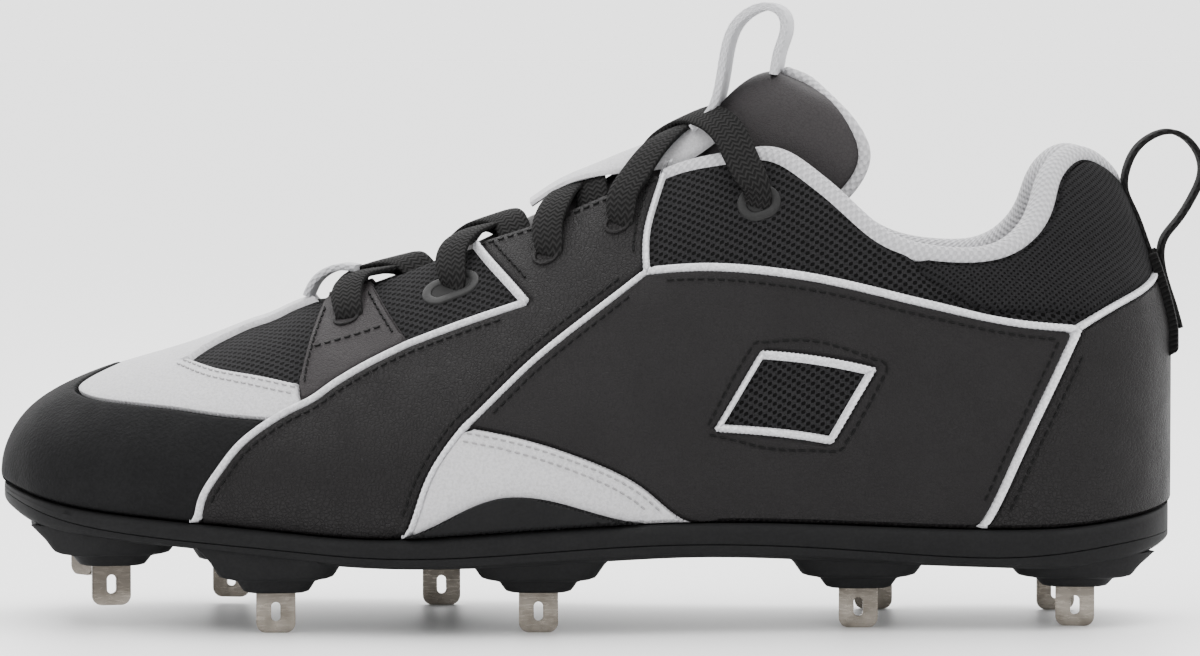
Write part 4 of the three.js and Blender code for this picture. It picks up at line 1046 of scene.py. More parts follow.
SEAMS = {
    "toe": TOE_LINE, "low": SADDLE_LOW, "step": SADDLE_STEP, "tab_low": SADDLE_TAB, "high": SADDLE_HIGH,
    "pipe": THROAT_PIPE, "rear_low": REAR_LOW, "rear_high": REAR_HIGH, "collar_pipe": COLLAR_PIPE,
    "quarter": QUARTER_TOP, "counter": COUNTER_FRONT, "counter_top": COUNTER_TOP, "arch": ARCH_TOP,
    "tab_front": TAB_FRONT, "tab_rear": TAB_REAR,
}
SADDLE_FRONT = ("low", "step", "tab_low", "high")
UNDER_PIPE = PIPE_HALF + 0.05
HEEL_POINTS = 40
lines = {}
for side, _ in SIDES:
    line = {key: seam(points, side) for key, points in SEAMS.items()}
    line["throat"], line["collar"] = throat_line(side), collar_line(side)
    for key in ("pipe", "collar_pipe", "tab_front", "tab_rear"):
        line[key] = trimmed(line[key], line["throat"])
    line["front"] = even_line(np.concatenate([line[key] for key in SADDLE_FRONT]))
    line["rear"] = even_line(np.concatenate([line["rear_low"], line["rear_high"]]))
    lines[side] = line
outer, inner = lines[OUTER], lines[INNER]


def v_at(point):
    """v of a point of the top chart."""
    return TOP.lift(point[None])[1][0]


def share_at(point):
    """Share of the shoe's length at a point of the top chart."""
    return share_of(TOP.lift(point[None])[0][0])


def heel_line(station, start, end, count):
    """A line over the heel's back between two values of v, in the top chart."""
    return even_line(TOP.flat(np.full(count, station), np.linspace(start, end, count)), FOOT_STEP)


def plan_loop(points, side):
    return TOP.flat(*find_plan(*np.array(points).T, side))


# One thin shell under all panels, open at the throat and the collar
base = Outline().add(foot_line(1, 0, OUTER)).add(foot_line(0, 1, INNER))
base.add(heel_line(1.0, 1, v_at(inner["collar"][-1]), HEEL_POINTS))
base.add(inner["collar"][::-1]).add(inner["throat"][::-1]).add(outer["throat"]).add(outer["collar"])
base.add(heel_line(1.0, v_at(outer["collar"][-1]), -1, HEEL_POINTS))
ready(panel("upper_mesh", base, MESH, -0.3, 0.0, step=2.8, shell=1.9, bevel=0.5), "mesh_fabric", "upper")

# Toe guard and the white overlay around the two mesh windows
guard = Outline().add(outer["toe"]).add(outer["low"][::-1][:-1])
guard.add(foot_line(share_at(outer["low"][0]), 0, OUTER)).add(foot_line(0, share_at(inner["low"][0]), INNER))
guard.add(inner["low"]).add(inner["toe"][::-1])
ready(panel("toe_guard_skin", guard, TOE_SKIN, 0.0, OVERLAY + 0.25, bevel=1.2, step=2.2),
      "toe_rubber", "toe_guard")

WINDOW_LOWER = 5
windows = []
for side, _ in SIDES:
    flat = plan_loop(TOE_WINDOW, side)
    lines[side]["toe_window"] = smooth_line(flat[:WINDOW_LOWER])
    upper_edge = smooth_line(np.concatenate([flat[WINDOW_LOWER:], flat[:1]]))
    windows.append(Outline().add(lines[side]["toe_window"]).add(upper_edge))
overlay = Outline().add(outer["toe"][::-1]).add(inner["toe"])
overlay.add(inner["step"]).add(inner["tab_front"][::-1])
overlay.add(inner["throat"][:nearest(inner["throat"], inner["tab_front"][0]) + 1][::-1])
overlay.add(outer["throat"][:nearest(outer["throat"], outer["tab_front"][0]) + 1])
overlay.add(outer["tab_front"]).add(outer["step"][::-1])
ready(panel("vamp_overlay_skin", overlay, SUEDE, 0.0, OVERLAY, cutouts=windows, bevel=0.8, step=2.2),
      "suede", "vamp_overlay")

for side, word in SIDES:
    line = lines[side]
    tab = Outline().add(line["tab_front"]).add(line["tab_low"], UNDER_PIPE).add(line["tab_rear"][::-1])
    tab.add(stretch(line["throat"], line["tab_rear"][0], line["tab_front"][0]))
    ready(panel(f"eyelet_tab_{word}_skin", tab, TAB_LEATHER, 0.0, OVERLAY, bevel=0.7, step=2.0),
          "tab_leather", f"eyelet_tab_{word}")

    saddle = Outline()
    for key in (*SADDLE_FRONT, "pipe"):
        saddle.add(line[key], UNDER_PIPE)
    line["saddle_edge"] = stretch(line["throat"], line["pipe"][-1], line["throat"][-1])
    saddle.add(line["saddle_edge"])
    for key in ("collar_pipe", "rear_high", "rear_low"):
        saddle.add(line[key][::-1], UNDER_PIPE)
    saddle.add(foot_line(share_at(line["rear_low"][0]), share_at(line["low"][0]), side))
    ready(panel(f"saddle_{word}_skin", saddle, LEATHER, 0.0, OVERLAY), "panel_leather", f"saddle_{word}")

    quarter = Outline()
    for key in ("rear_high", "quarter", "counter"):
        quarter.add(line[key], UNDER_PIPE)
    quarter.add(foot_line(share_at(line["counter"][-1]), share_at(line["arch"][-1]), side))
    quarter.add(line["arch"][::-1])
    line["window"] = even_line(TOP.flat(*find_side(*np.array(WINDOW + WINDOW[:1]).T, side)))
    hole = Outline().add(line["window"], UNDER_PIPE)
    ready(panel(f"quarter_{word}_skin", quarter, QUARTER_LEATHER, 0.0, OVERLAY, cutouts=[hole]),
          "panel_leather", f"quarter_{word}")

    arch = Outline().add(line["rear_low"], UNDER_PIPE).add(line["arch"])
    arch.add(foot_line(share_at(line["arch"][-1]), share_at(line["rear_low"][0]), side))
    ready(panel(f"arch_wedge_{word}_skin", arch, SUEDE, 0.0, OVERLAY), "suede", f"arch_wedge_{word}")


def back_edge(side):
    """The counter's top edge in the chart from the heel, up to the heel's middle."""
    top = to_back(lines[side]["counter_top"])
    return top[np.abs(top[:, 0]) > 0.3]


# Heel counter, around the heel's back
counter = Outline(BACK).add(to_back(outer["counter"][::-1]), UNDER_PIPE)
counter.add(back_edge(OUTER), UNDER_PIPE).add(back_edge(INNER)[::-1], UNDER_PIPE)
counter.add(to_back(inner["counter"]), UNDER_PIPE)
ends = [to_back(each["counter"][-1:])[0, 0] for each in (inner, outer)]
counter.add(np.stack([np.linspace(*ends, 80), np.full(80, 0.02)], -1))
ready(panel("heel_counter_skin", counter, LEATHER, 0.0, OVERLAY), "panel_leather", "heel_counter")

# The padded heel above the foam's seam, in a finer mesh
FOAM_INSET = 1.9
for side, word in SIDES:
    line = lines[side]
    low_edge, rear_edge = seam(HEEL_SEAM, side), line["counter_top"]
    foam = Outline().add(low_edge).add(stretch(rear_edge, low_edge[-1], rear_edge[-1]), UNDER_PIPE)
    collar_end = beside(line["collar"], side * FOAM_INSET)[-1]
    foam.add(heel_line(0.9995, v_at(rear_edge[-1]), v_at(collar_end), 12))
    collar_part = line["collar"][nearest(line["collar"], low_edge[0]):]
    foam.add(beside(collar_part, side * FOAM_INSET)[::-1])
    ready(panel(f"heel_foam_{word}", foam, FINE_MESH, 0.0, 0.9, bevel=2.2, puff=0.5), "mesh_fabric")


# White pipings, half round

def piping(piping_name, chart, flat, *nodes):
    outline = Outline(chart).add(beside(flat, PIPE_HALF)).add(beside(flat, -PIPE_HALF)[::-1])
    made = panel(piping_name, outline, PIPE, 0.0, OVERLAY + 0.55, bevel=PIPE_HALF, lip=0.30, step=40)
    return ready(made, "piping", *nodes)


for side, word in SIDES:
    line = lines[side]
    for part, key in (("front", "front"), ("throat", "pipe"), ("rear", "rear"), ("collar", "collar_pipe"),
                      ("quarter", "quarter"), ("counter", "counter")):
        nodes = (f"piping_{part}_{word}",) if part in ("front", "rear") else ()
        piping(f"piping_{part}_{word}_line", TOP, line[key], *nodes)
    corners = [line["window"][nearest(line["window"], TOP.flat(*find_side(*place, side)))]
               for place in WINDOW]
    for k, (first, second) in enumerate(zip(corners, corners[1:] + corners[:1])):
        along = (second - first) / np.linalg.norm(second - first) * PIPE_HALF * 0.7
        nodes = (f"piping_window_{word}",) if k == 0 else ()
        edge = even_line(np.array([first - along, second + along]))
        piping(f"piping_window_{word}_{k + 1}", TOP, edge, *nodes)
piping("piping_heel_line", BACK, even_line(np.concatenate([back_edge(OUTER), back_edge(INNER)[::-1]])))


# Holes, eyelets and stitches

HOLE_WIDE = 4.4


def hole_frame(row, side, out):
    """Middle of a lace hole and the directions along, across and out of the shoe there."""
    s, v = (float(x) for x in find_side(row["at"], row["up"], side))
    normal = surface_normal(s, v)
    along = on_last(s + 0.005, v) - on_last(s - 0.005, v)
    across = unit(np.cross(normal, along / np.linalg.norm(along)))
    return skin(np.array(s), np.array(v), out), np.cross(across, normal), across, normal


def oval(long, wide, count=40):
    """A rounded slot around the origin."""
    angles = np.linspace(0, 2 * math.pi, count, endpoint=False)
    straight = max(0.0, (long - wide) / 2)
    x = wide / 2 * np.cos(angles) + straight * np.sign(np.cos(angles))
    return np.stack([x, wide / 2 * np.sin(angles)], -1)


for side, word in SIDES:
    for index, row in enumerate(ROWS):
        centre, along, across, normal = hole_frame(row, side, 0.2 if row["rim"] else OVERLAY)

        def around_hole(ring, height):
            return centre + ring[:, :1] * along + ring[:, 1:] * across + normal * height

        def hole_ring(ring_name, path, profile, material):
            outward = np.repeat(normal[None], len(path), 0)
            return sweep(f"{ring_name}_{index + 1}_{word}", path, outward, profile, material, closed=True)

        ring = oval(row["long"] + 0.2, HOLE_WIDE)
        # A near-black sheet over the hole stands in for the shade inside it, where the lace enters.
        shade_disc = around_hole(ring * 0.99, 0.12)
        ready(link(f"lace_hole_shade_{index + 1}_{word}", shade_disc, [tuple(range(len(shade_disc)))], HOLE_SHADE_SHEET), "mesh_fabric")
        if row["rim"]:
            path = around_hole(oval(row["long"] + 2.4, HOLE_WIDE + 2.4), 0.45)
            ready(hole_ring("eyelet_flange", path, rounded_box(2.6, 1.2, 0.5), BLACK_PLASTIC),
                  "eyelet_rim", f"eyelet_{index + 1}_{word}")
            path = around_hole(oval(row["long"] + row["ring"], HOLE_WIDE + row["ring"]), 0.95)
            ready(hole_ring("eyelet_ring", path, rounded_box(0.9, 0.8, 0.35), RIM_FINISH), "eyelet_rim")
        else:
            path = around_hole(ring * 1.12, -0.15)
            ready(hole_ring("hole_lip", path, rounded_box(0.9, 0.7, 0.3), LEATHER), "panel_leather")

SEAM_STITCH = PIPE_HALF + 2.2
TAB_STITCH = 1.8
black_stitches = Stitches(thick=0.32, length=1.75, pitch=2.5)
pale_stitches = Stitches(thick=0.26, length=1.4, pitch=2.1)
# Seams with black stitches beside them, and on which side
STITCHED = (("front", SEAM_STITCH), ("rear", -SEAM_STITCH), ("rear_high", SEAM_STITCH),
            ("quarter", SEAM_STITCH), ("counter", -SEAM_STITCH), ("counter", SEAM_STITCH),
            ("collar_pipe", -SEAM_STITCH), ("pipe", SEAM_STITCH), ("tab_front", -TAB_STITCH),
            ("tab_rear", TAB_STITCH))
for side, word in SIDES:
    line = lines[side]
    for key, distance in STITCHED:
        black_stitches.chart_line(beside(line[key], side * distance), ends=7.2)
    black_stitches.chart_line(seam(TAB_CROSS, side))
    black_stitches.chart_line(beside(line["saddle_edge"], side * 2.2), ends=3)
    under_tab = line["toe_window"][:, 0] < TOP.flat(*find_side(0.262, 0.40, side))[0]
    for distance in (1.5, 3.4):
        pale_stitches.chart_line(beside(line["arch"], side * distance), ends=3)
        pale_stitches.chart_line(beside(line["toe_window"][under_tab], side * distance))
    away = line["window"] - line["window"].mean(0)
    around_window = line["window"] + away / np.linalg.norm(away, axis=1)[:, None] * (SEAM_STITCH * 1.15)
    black_stitches.chart_line(around_window, ends=1.8)
ready(black_stitches.build("black_stitching", THREAD), "panel_leather")
ready(pale_stitches.build("pale_stitching", PALE_THREAD), "suede")


# Collar lining: a foam roll over the collar's edge

LINING_PROFILE = [(1.6, -0.4), (0.9, 0.5), (-0.5, 0.9), (-1.9, 0.5), (-3.0, -0.8), (-3.4, -2.8),
                  (-2.8, -5.2), (-0.6, -7.2), (4.0, -8.2), (11.0, -8.0), (18.0, -6.9), (24.0, -4.9),
                  (27.0, -2.6), (20.0, -2.3), (10.0, -2.3), (3.0, -2.2)]
ROLL_DEPTH = 3.0


def collar_ring():
    """The collar's edge from the throat round the heel to the throat, and which way is down from it."""
    result = []
    for side, turn in ((OUTER, 1), (INNER, -1)):
        flat = lines[side]["collar"]
        away = left_of(np.gradient(flat, axis=0)) * side
        down = np.tile([0.0, float(side)], (len(flat), 1))
        result.append([each[::turn] for each in (flat, away, down)])
    return [np.concatenate([a, b[1:]]) for a, b in zip(*result)]


def collar_point(flat, away, down, depth, out):
    moved = flat + away * min(depth, ROLL_DEPTH) + down * max(0.0, depth - ROLL_DEPTH)
    return on_last(*TOP.lift(moved), out)


profile = smooth_line(np.array(LINING_PROFILE + LINING_PROFILE[:1]), 1.0)[:-1]
ring = collar_ring()
grid = np.stack([collar_point(*ring, depth, out) for depth, out in profile], 1)
lining_map = map_of(np.arange(grid.shape[0]) * LINE_STEP, np.arange(grid.shape[1]) * 1.0)
lining = ready(tube("collar_lining_roll", grid, LINING, uv=lining_map), "knit", "collar_lining")


# Tongue

def sheet_point(shape, at, across):
    wrap = np.radians(shape["wrap"](at))
    angle = across * wrap
    bow = (1 - np.cos(angle)) / (1 - np.cos(wrap))
    return np.stack([at * LENGTH + bow * shape["back"](at) * BALL_WIDTH,
                     np.sin(angle) / np.sin(wrap) * shape["wide"](at) * BALL_WIDTH,
                     SOLE_LINE + shape["up"](at) * HEEL_HEIGHT - bow * shape["down"](at) * BALL_WIDTH], -1)


def border_of(rows, columns, first=0):
    """Grid places down one side, along the last row and up the other side."""
    return ([(i, 0) for i in range(first, rows)] + [(rows - 1, k) for k in range(1, columns)]
            + [(i, columns - 1) for i in range(rows - 2, first - 1, -1)])


def padded_sheet(sheet_name, table, thick, material, rows=110, columns=56, crown=0.8, lift=0.0,
                 round_share=0.12):
    """A crowned pad bowed over the foot, with its middle sheet and the directions out of it."""
    shape = read_table(table)
    start, end = table["rows"][0][0], table["rows"][-1][0]
    at = start + (end - start) * np.linspace(0, 1, rows)[:, None] + np.zeros((1, columns))
    across = np.zeros((rows, 1)) + np.linspace(-1, 1, columns)[None, :]
    points = sheet_point(shape, at, across)
    inward = unit(np.cross(np.gradient(points, axis=1), np.gradient(points, axis=0)))
    edge = np.minimum(1 - np.abs(across), np.minimum(1 - (at - start) / (end - start), 1.0) * 1.5)
    full = round_rise(edge / round_share)
    middle = points + inward * (thick / 2)
    face = middle - inward * (full * (thick / 2 + crown) + lift)[..., None]
    back = middle + inward * (full * thick / 2 - lift)[..., None]
    size = rows * columns
    faces = []
    for i in range(rows - 1):
        for k in range(columns - 1):
            a, b = i * columns + k, i * columns + k + 1
            faces.append((a, a + columns, b + columns, b))
            faces.append((size + a, size + b, size + b + columns, size + a + columns))
    border = border_of(rows, columns) + [(0, k) for k in range(columns - 2, 0, -1)]
    index = [i * columns + k for i, k in border]
    faces += [(a, size + a, size + b, b) for a, b in zip(index, index[1:] + index[:1])]
    run = np.broadcast_to(run_of(points[:, columns // 2])[:, None], across.shape)
    span = across * np.max(shape["wide"](at), axis=1)[:, None] * BALL_WIDTH
    uv = np.stack([run, span], -1).reshape(-1, 2)
    vertices = np.concatenate([face.reshape(-1, 3), back.reshape(-1, 3)])
    return link(sheet_name, vertices, faces, material, uv=np.concatenate([uv, uv])), middle, -inward


tongue, tongue_middle, tongue_out = padded_sheet("tongue_pad", TONGUE_SHAPE, 5, TONGUE_LEATHER)
ready(tongue, "tongue_leather", "tongue")

# The knitted edging starts at this share of the length and runs round the tongue's top
EDGING_START = 0.575
EDGING_POINTS = 150
rows, columns = tongue_middle.shape[:2]
tongue_start, tongue_end = TONGUE_SHAPE["rows"][0][0], TONGUE_SHAPE["rows"][-1][0]
first = int(rows * (EDGING_START - tongue_start) / (tongue_end - tongue_start))
border = tuple(np.array(border_of(rows, columns, first)).T)
edge_path, edge_out = tongue_middle[border], tongue_out[border]
keys = run_of(edge_path)
where = np.linspace(0, keys[-1], EDGING_POINTS)
edge_path, edge_out = resampled(edge_path, keys, where), resampled(edge_out, keys, where)
for _ in range(6):
    edge_path[1:-1] = (edge_path[:-2] + 2 * edge_path[1:-1] + edge_path[2:]) / 4
ready(sweep("tongue_edging", edge_path, edge_out, rounded_box(3.0, 6.0, 1.4), TONGUE_EDGE), "knit")
strip, _, _ = padded_sheet("tongue_suede_strip", STRIP_SHAPE, 1.2, SUEDE, rows=60, columns=24, crown=0.1,
                           lift=1.1, round_share=0.05)
ready(strip, "suede", "tongue_strip")


# Loops of webbing

def webbing_loop(loop_name, places, wide, thick, material, slot, node, skew=0.0):
    """A strip along places of the side view; skew slants it across the shoe."""
    flat = smooth_line(np.array(places) * [LENGTH, HEEL_HEIGHT], 0.8)
    path = np.stack([flat[:, 0], np.zeros(len(flat)), SOLE_LINE + flat[:, 1]], -1)
    outward = np.cross(np.gradient(path, axis=0), [0.0, 1.0, 0.0])
    profile = rounded_box(wide, thick, min(thick / 2 * 0.9, 0.5), steps=2)
    made = sweep(loop_name, path, outward, profile, material)
    for vertex in made.data.vertices:
        vertex.co.x += skew * vertex.co.y
    return ready(made, slot, node)


def heel_back(up, out):
    """A place on the heel's back in the side view, at a distance from it."""
    _, v = find_side(1.0, up, OUTER)
    point = on_last(1.0, v, out)
    return [point[0] / LENGTH, (point[2] - SOLE_LINE) / HEEL_HEIGHT]


tongue_loop_path = [[0.594, 1.040]] + TONGUE_LOOP_PATH + [[0.664, 1.185]]
webbing_loop("tongue_loop_webbing", tongue_loop_path, 17, 2.0, WHITE_WEB,
             "webbing_white", "tongue_pull_loop", skew=0.13)
webbing_loop("lace_keeper_webbing", KEEPER_PATH, 9, 1.7, WHITE_WEB,
             "webbing_white", "lace_keeper", skew=0.16)
heel_path = ([heel_back(up, 1.0) for up in (0.68, 0.75, 0.81, 0.87)] + HEEL_LOOP_PATH
             + [heel_back(0.640, 2.8), heel_back(0.56, 2.9), heel_back(0.49, 3.4)])
webbing_loop("heel_loop_webbing", heel_path, 10, 1.3, BLACK_WEB, "webbing_black", "heel_pull_loop")
FLAP_HALF = 7
flap_low, flap_high = (BACK.flat(*find_side(0.99, up, OUTER))[1] for up in (0.42, 0.705))
flap_corners = [[-FLAP_HALF, flap_low], [FLAP_HALF, flap_low], [FLAP_HALF, flap_high],
                [-FLAP_HALF, flap_high], [-FLAP_HALF, flap_low]]
flap = Outline(BACK).add(even_line(np.array(flap_corners)))
ready(panel("heel_flap", flap, BLACK_WEB, OVERLAY, OVERLAY + 1.9, bevel=0.6), "panel_leather", "heel_tab")


# Laces, threaded through the eyelets

# Height of each crossing's lower strand over the last's ridge, and how far the upper strand lies over it
CROSSING_HEIGHT = [-0.6, -1.0, -0.6, 1.6]
STRAND_OVER = 2.2
ON_PANEL = OVERLAY + 1.2
LACE_PROFILE = [(LACE_WIDTH / 2 * math.cos(a),
                 LACE / 2 * math.copysign(abs(math.sin(a)) ** 0.7, math.sin(a)))
                for a in np.linspace(0, 2 * math.pi, 20, endpoint=False)]


def throat_edge(station, side):
    """Where the throat's edge lies around the last at a station."""
    across = float(np.interp(float(share_of(station)), *np.array(THROAT).T))
    return float(find_plan(float(share_of(station)), across, side)[1])


def strand(lace_name, from_row, to_row, height, side, on_top):
    start = [float(x) for x in find_side(from_row["at"], from_row["up"], side)]
    end = [float(x) for x in find_side(to_row["at"], to_row["up"], -side)]

    def station(share):
        return start[0] + (end[0] - start[0]) * share

    near_edge, far_edge = throat_edge(station(0.25), side), throat_edge(station(0.75), -side)
    # Station, place around the last, height over it, width as a share
    way = [(start[0], start[1], -2.6, 0.70),
           (start[0] + 0.002, start[1] * 0.985, 1.2, 0.80),
           (station(0.03), start[1] * 0.55 + near_edge * 0.45, ON_PANEL + 0.9, 0.95),
           (station(0.11), near_edge, ON_PANEL + 0.9, 1.0),
           (station(0.27), near_edge * 0.55, (ON_PANEL + height) / 2 + 0.9, 1.0),
           (station(0.50), side * 1e-6, height, 1.0)]
    if on_top:
        way += [(station(0.62), far_edge * 0.45, height + 0.4, 1.0),
                (station(0.76), far_edge * 0.95, ON_PANEL + 2.2, 1.0),
                (station(0.90), end[1] * 0.70 + far_edge * 0.30, ON_PANEL + 1.6, 0.95),
                (end[0] - 0.003, end[1] * 0.96, ON_PANEL + 0.6, 0.80),
                (end[0], end[1] * 1.02, -3.0, 0.70)]
    else:
        way += [(station(0.62), far_edge * 0.5, height - 1.2, 1.0),
                (station(0.74), far_edge * 1.05, -3.2, 0.95),
                (station(0.90), (far_edge + end[1]) / 2, -4.2, 0.85),
                (end[0], end[1], -4.0, 0.7)]
    anchors = np.array([on_last(s, v, out) for s, v, out, _ in way])
    normals = np.array([surface_normal(s, v) for s, v, _, _ in way])
    keys = run_of(anchors)
    path = smooth_line(anchors, 0.9)
    run = run_of(path)
    where = run / run[-1] * keys[-1]
    width = np.interp(where, keys, [share for _, _, _, share in way])
    scale = np.stack([width, 1.25 - 0.25 * width], -1)
    made = sweep(lace_name, path, unit(resampled(normals, keys, where)), LACE_PROFILE, LACE_CLOTH,
                 scale=scale, angle=70)
    return ready(made, "lace_cord")


for index, row in enumerate(ROWS[1:]):
    on_top = index == len(ROWS) - 2
    for side, word in SIDES:
        raised = CROSSING_HEIGHT[index] + (0.0 if side == OUTER else STRAND_OVER)
        made = strand(f"lace_{index + 1}_{word}", ROWS[index], row, raised, side, on_top)
        if side == OUTER:
            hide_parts(f"lace_crossing_{index + 1}")


# Sole, studs and spikes

def slab(slab_name, levels, material):
    """A slab in the sole's plan: levels give outset and height at each station, from the top down."""
    station = np.linspace(0, 1, 150)

    def place(side, outset, z):
        outset = np.broadcast_to(outset, station.shape)
        x = foot_point(station, side, np.minimum(outset, END_LEDGE))[:, 0]
        return np.stack([x, foot_point(station, side, outset)[:, 1], np.broadcast_to(z, station.shape)], -1)

    rings = levels(station)
    columns = [place(OUTER, *ring) for ring in rings[::-1]] + [place(INNER, *ring) for ring in rings]
    return tube(slab_name, np.stack(columns, 1), material, smooth_angle=55)


def seam_height(station):
    return SOLE_LINE * sole["seam"](station)


def under_height(station):
    return SOLE_LINE * sole["under"](station)


def midsole_levels(s):
    top, low = sole_line(s) - 0.3, seam_height(s)
    return [(-3.0, top), (LEDGE - 1.9, top), (LEDGE - 0.8, top - 0.5), (LEDGE, top - 1.7),
            (LEDGE + 0.05, (top + low) / 2), (LEDGE, low + 0.3), (LEDGE - 0.15, low + 0.05),
            (LEDGE - 0.4, low)]


def plate_levels(s):
    top, low = seam_height(s) - 0.1, under_height(s)
    return [(LEDGE - 0.4, top), (LEDGE - 0.15, top - 0.05), (LEDGE, top - 0.3),
            (LEDGE - 0.3, top * 0.4 + low * 0.6), (LEDGE - 1.5, low + 0.9), (LEDGE - 3.4, low + 0.1),
            (-6.0, low - 0.1)]


def insole_levels(s):
    return [(-2.4, sole_line(s) + 3.6), (-2.4, sole_line(s) + 1)]


ready(slab("midsole_rim", midsole_levels, SOLE_RUBBER), "sole_rubber", "midsole")
ready(slab("outsole_plate", plate_levels, SOLE_RUBBER), "sole_rubber", "outsole")
ready(slab("insole_cloth", insole_levels, INSOLE_CLOTH), "foam", "insole")

# The sole's raised edge beside the outer forefoot
turn = np.linspace(-0.9, 0.9, 60)
wall_at = OUTRIGGER_RUN["at"] + turn * np.where(turn < 0, OUTRIGGER_RUN["front"], OUTRIGGER_RUN["back"])
wall_high = OUTRIGGER * 0.5 * (1 + np.cos(math.pi * turn))
wall_up = (sole_line(station_of(wall_at)) - SOLE_LINE + wall_high) / HEEL_HEIGHT
wall = Outline().add(even_line(TOP.flat(*find_side(wall_at, wall_up, OUTER))))
wall.add(foot_line(wall_at[-1], wall_at[0], OUTER))
ready(panel("outrigger_wall", wall, SOLE_RUBBER, 1.7, LEDGE - 0.1, bevel=1.4, lip=0.5, step=1.6),
      "sole_rubber")

# Share of the stud's height from the top, half length and half width
STUD_ROWS = [[0.000, 20.0, 14.0], [0.150, 18.2, 12.8], [0.350, 16.2, 11.4], [0.580, 14.6, 10.4],
             [0.650, 14.0, 10.0], [0.690, 12.8, 9.2], [0.720, 11.0, 8.4], [0.760, 9.6, 7.8],
             [0.900, 8.6, 7.1], [0.970, 8.0, 6.6], [1.000, 7.0, 5.8]]
STUD_CORNERS = 44
STUD_SQUARE = 0.65
STUD_SHIFT = 1.5
SPIKE_ROUND = 2.4
SLOT_ROUND = 1.15
SLOT_HALF = 1.2
SLOT_HEIGHT = 5.2
SPIKE_BEVEL = 0.28


def turned(x, y, degrees):
    turn = math.radians(degrees)
    return x * math.cos(turn) - y * math.sin(turn), x * math.sin(turn) + y * math.cos(turn)


def stud(spike):
    """A stepped stud under the sole, kept within the sole's plan."""
    top = float(under_height(station_of(spike["at"]))) + 3
    low = spike["lift"] + SPIKE_DROP
    angles = np.linspace(0, 2 * math.pi, STUD_CORNERS, endpoint=False)
    x, y = (np.sign(each) * np.abs(each) ** STUD_SQUARE for each in (np.cos(angles), np.sin(angles)))
    middle = spike["across"] * BALL_WIDTH - math.copysign(STUD_SHIFT, spike["across"])
    rings = []
    for depth, long, wide in STUD_ROWS:
        along, across = turned(long * x, wide * y, spike["turn"])
        along = np.clip(spike["at"] * LENGTH + along, STUD_END, LENGTH - STUD_END)
        stations = station_of(along / LENGTH)
        edges = [foot_point(stations, side, LEDGE - STUD_INSET)[:, 1] for side, _ in SIDES]
        across = np.clip(middle + across, *edges)
        rings.append(np.stack([along, across, np.full(STUD_CORNERS, top + (low - top) * depth)], -1))
    return tube(f"stud_{spike['name']}", np.stack(rings), SOLE_RUBBER)


def spike_plate(spike):
    """A flat metal spike with rounded lower corners and a slot."""
    half, drop = SPIKE_WIDTH / 2, SPIKE_DROP + SPIKE_ROOT
    bend = np.linspace(0, math.pi / 2, 7)
    outline = [(-half, drop)]
    outline += [(-half + SPIKE_ROUND - SPIKE_ROUND * math.cos(a), SPIKE_ROUND - SPIKE_ROUND * math.sin(a))
                for a in bend]
    outline += [(half - SPIKE_ROUND + SPIKE_ROUND * math.sin(a), SPIKE_ROUND - SPIKE_ROUND * math.cos(a))
                for a in bend]
    outline.append((half, drop))
    slot = [(SLOT_ROUND * math.cos(a), SLOT_HEIGHT + SLOT_ROUND * math.sin(a)
             + (SLOT_HALF if math.sin(a) > 0 else -SLOT_HALF))
            for a in np.linspace(0, 2 * math.pi, 24, endpoint=False)]
    edges = [(first + k, first + (k + 1) % len(loop)) for first, loop in ((0, outline), (len(outline), slot))
             for k in range(len(loop))]
    flat, _, faces, _, _, _ = delaunay_2d_cdt([Vector(p) for p in outline + slot], edges, [], 1, 1e-5)
    flat = np.array([tuple(p) for p in flat])
    faces = [f for f in faces if not inside(flat[list(f)].mean(0)[None], np.array(slot))[0]]
    mesh = bmesh.new()
    corners = [mesh.verts.new((x, 0, z)) for x, z in flat]
    plate = [mesh.faces.new([corners[i] for i in f]) for f in faces]
    moved = bmesh.ops.extrude_face_region(mesh, geom=plate)["geom"]
    other_side = [each for each in moved if isinstance(each, bmesh.types.BMVert)]
    bmesh.ops.translate(mesh, vec=(0, SPIKE, 0), verts=other_side)
    bmesh.ops.recalc_face_normals(mesh, faces=mesh.faces)
    rim = [e for e in mesh.edges if e.calc_face_angle(0) > 0.8]
    bmesh.ops.bevel(mesh, geom=rim, offset=SPIKE_BEVEL, segments=2, affect="EDGES")
    vertices = np.array([tuple(p.co) for p in mesh.verts])
    mesh.verts.index_update()
    face_list = [[p.index for p in f.verts] for f in mesh.faces]
    mesh.free()
    x, y = turned(vertices[:, 0], vertices[:, 1] - SPIKE / 2, spike["turn"])
    middle = np.array([spike["at"] * LENGTH, spike["across"] * BALL_WIDTH, spike["lift"]])
    return link(f"spike_{spike['name']}_plate", np.stack([x, y, vertices[:, 2]], -1) + middle, face_list,
                SPIKE_METAL, smooth_angle=35)


for spike in SPIKES:
    ready(stud(spike), "sole_rubber")
    ready(spike_plate(spike), "spike_metal", f"spike_{spike['name']}")


# Floor and light

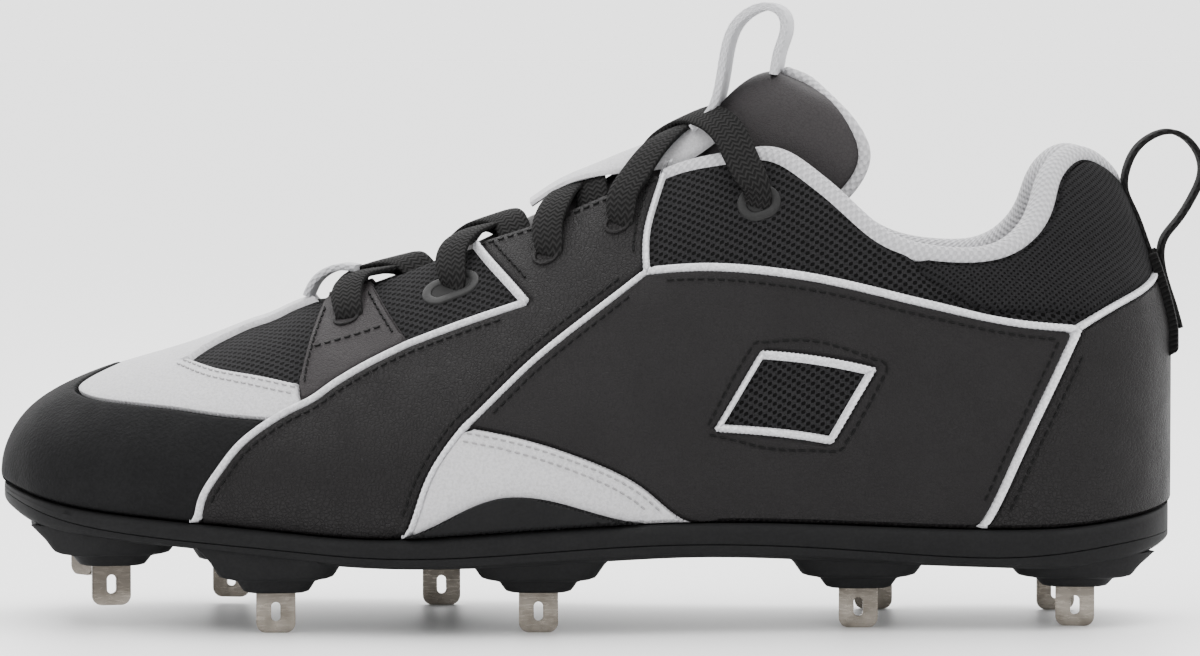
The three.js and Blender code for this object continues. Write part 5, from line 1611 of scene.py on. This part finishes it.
FLOOR_HALF = 20
floor_mesh = bpy.data.meshes.new("floor")
floor_corners = [(x * FLOOR_HALF, y * FLOOR_HALF, 0) for x, y in ((-1, -1), (1, -1), (1, 1), (-1, 1))]
floor_mesh.from_pydata(floor_corners, [], [(0, 1, 2, 3)])
floor_mesh.materials.append(Nodes("pale_floor", (0.90, 0.90, 0.90), 0.45).material)
floor = put("floor", floor_mesh)


def soft_light(light_name, place, size, power, aim=(0, 0, 0.05)):
    data = bpy.data.lights.new(light_name, "AREA")
    data.shape = "RECTANGLE"
    data.size, data.size_y = size
    data.energy = power
    lamp = put(light_name, data)
    lamp.location = place
    lamp.rotation_euler = (Vector(aim) - Vector(place)).to_track_quat("-Z", "Y").to_euler()


soft_light("key_light", (-0.5, -0.7, 1.2), (0.9, 0.9), 9)
soft_light("top_light", (0.2, 0.2, 1.3), (1.4, 1.0), 14)
soft_light("front_light", (0.6, -1.2, 0.6), (0.8, 0.6), 3)

# The sky glows more behind the shoe than in front of it, and less at the horizon
FRONT_GLOW, BACK_GLOW = 1.2, 4.2
HORIZON_SHARE = 0.6
world = bpy.data.worlds.new("studio")
bpy.context.scene.world = world
world.use_nodes = True
sky = world.node_tree.nodes
join = world.node_tree.links.new
sky["Background"].inputs["Color"].default_value = (1, 1, 1, 1)
direction = sky.new("ShaderNodeTexCoord")
parts = sky.new("ShaderNodeSeparateXYZ")
join(direction.outputs["Generated"], parts.inputs[0])


def sky_range(axis, start, end, at_start, at_end):
    fade = sky.new("ShaderNodeMapRange")
    fade.interpolation_type = "SMOOTHSTEP"
    for key, value in (("From Min", start), ("From Max", end), ("To Min", at_start), ("To Max", at_end)):
        fade.inputs[key].default_value = value
    join(parts.outputs[axis], fade.inputs["Value"])
    return fade.outputs[0]


glow = sky.new("ShaderNodeMath")
glow.operation = "MULTIPLY"
join(sky_range("Y", -0.5, 0.7, FRONT_GLOW, BACK_GLOW), glow.inputs[0])
join(sky_range("Z", 0.0, 0.5, HORIZON_SHARE, 1.0), glow.inputs[1])
join(glow.outputs[0], sky["Background"].inputs["Strength"])
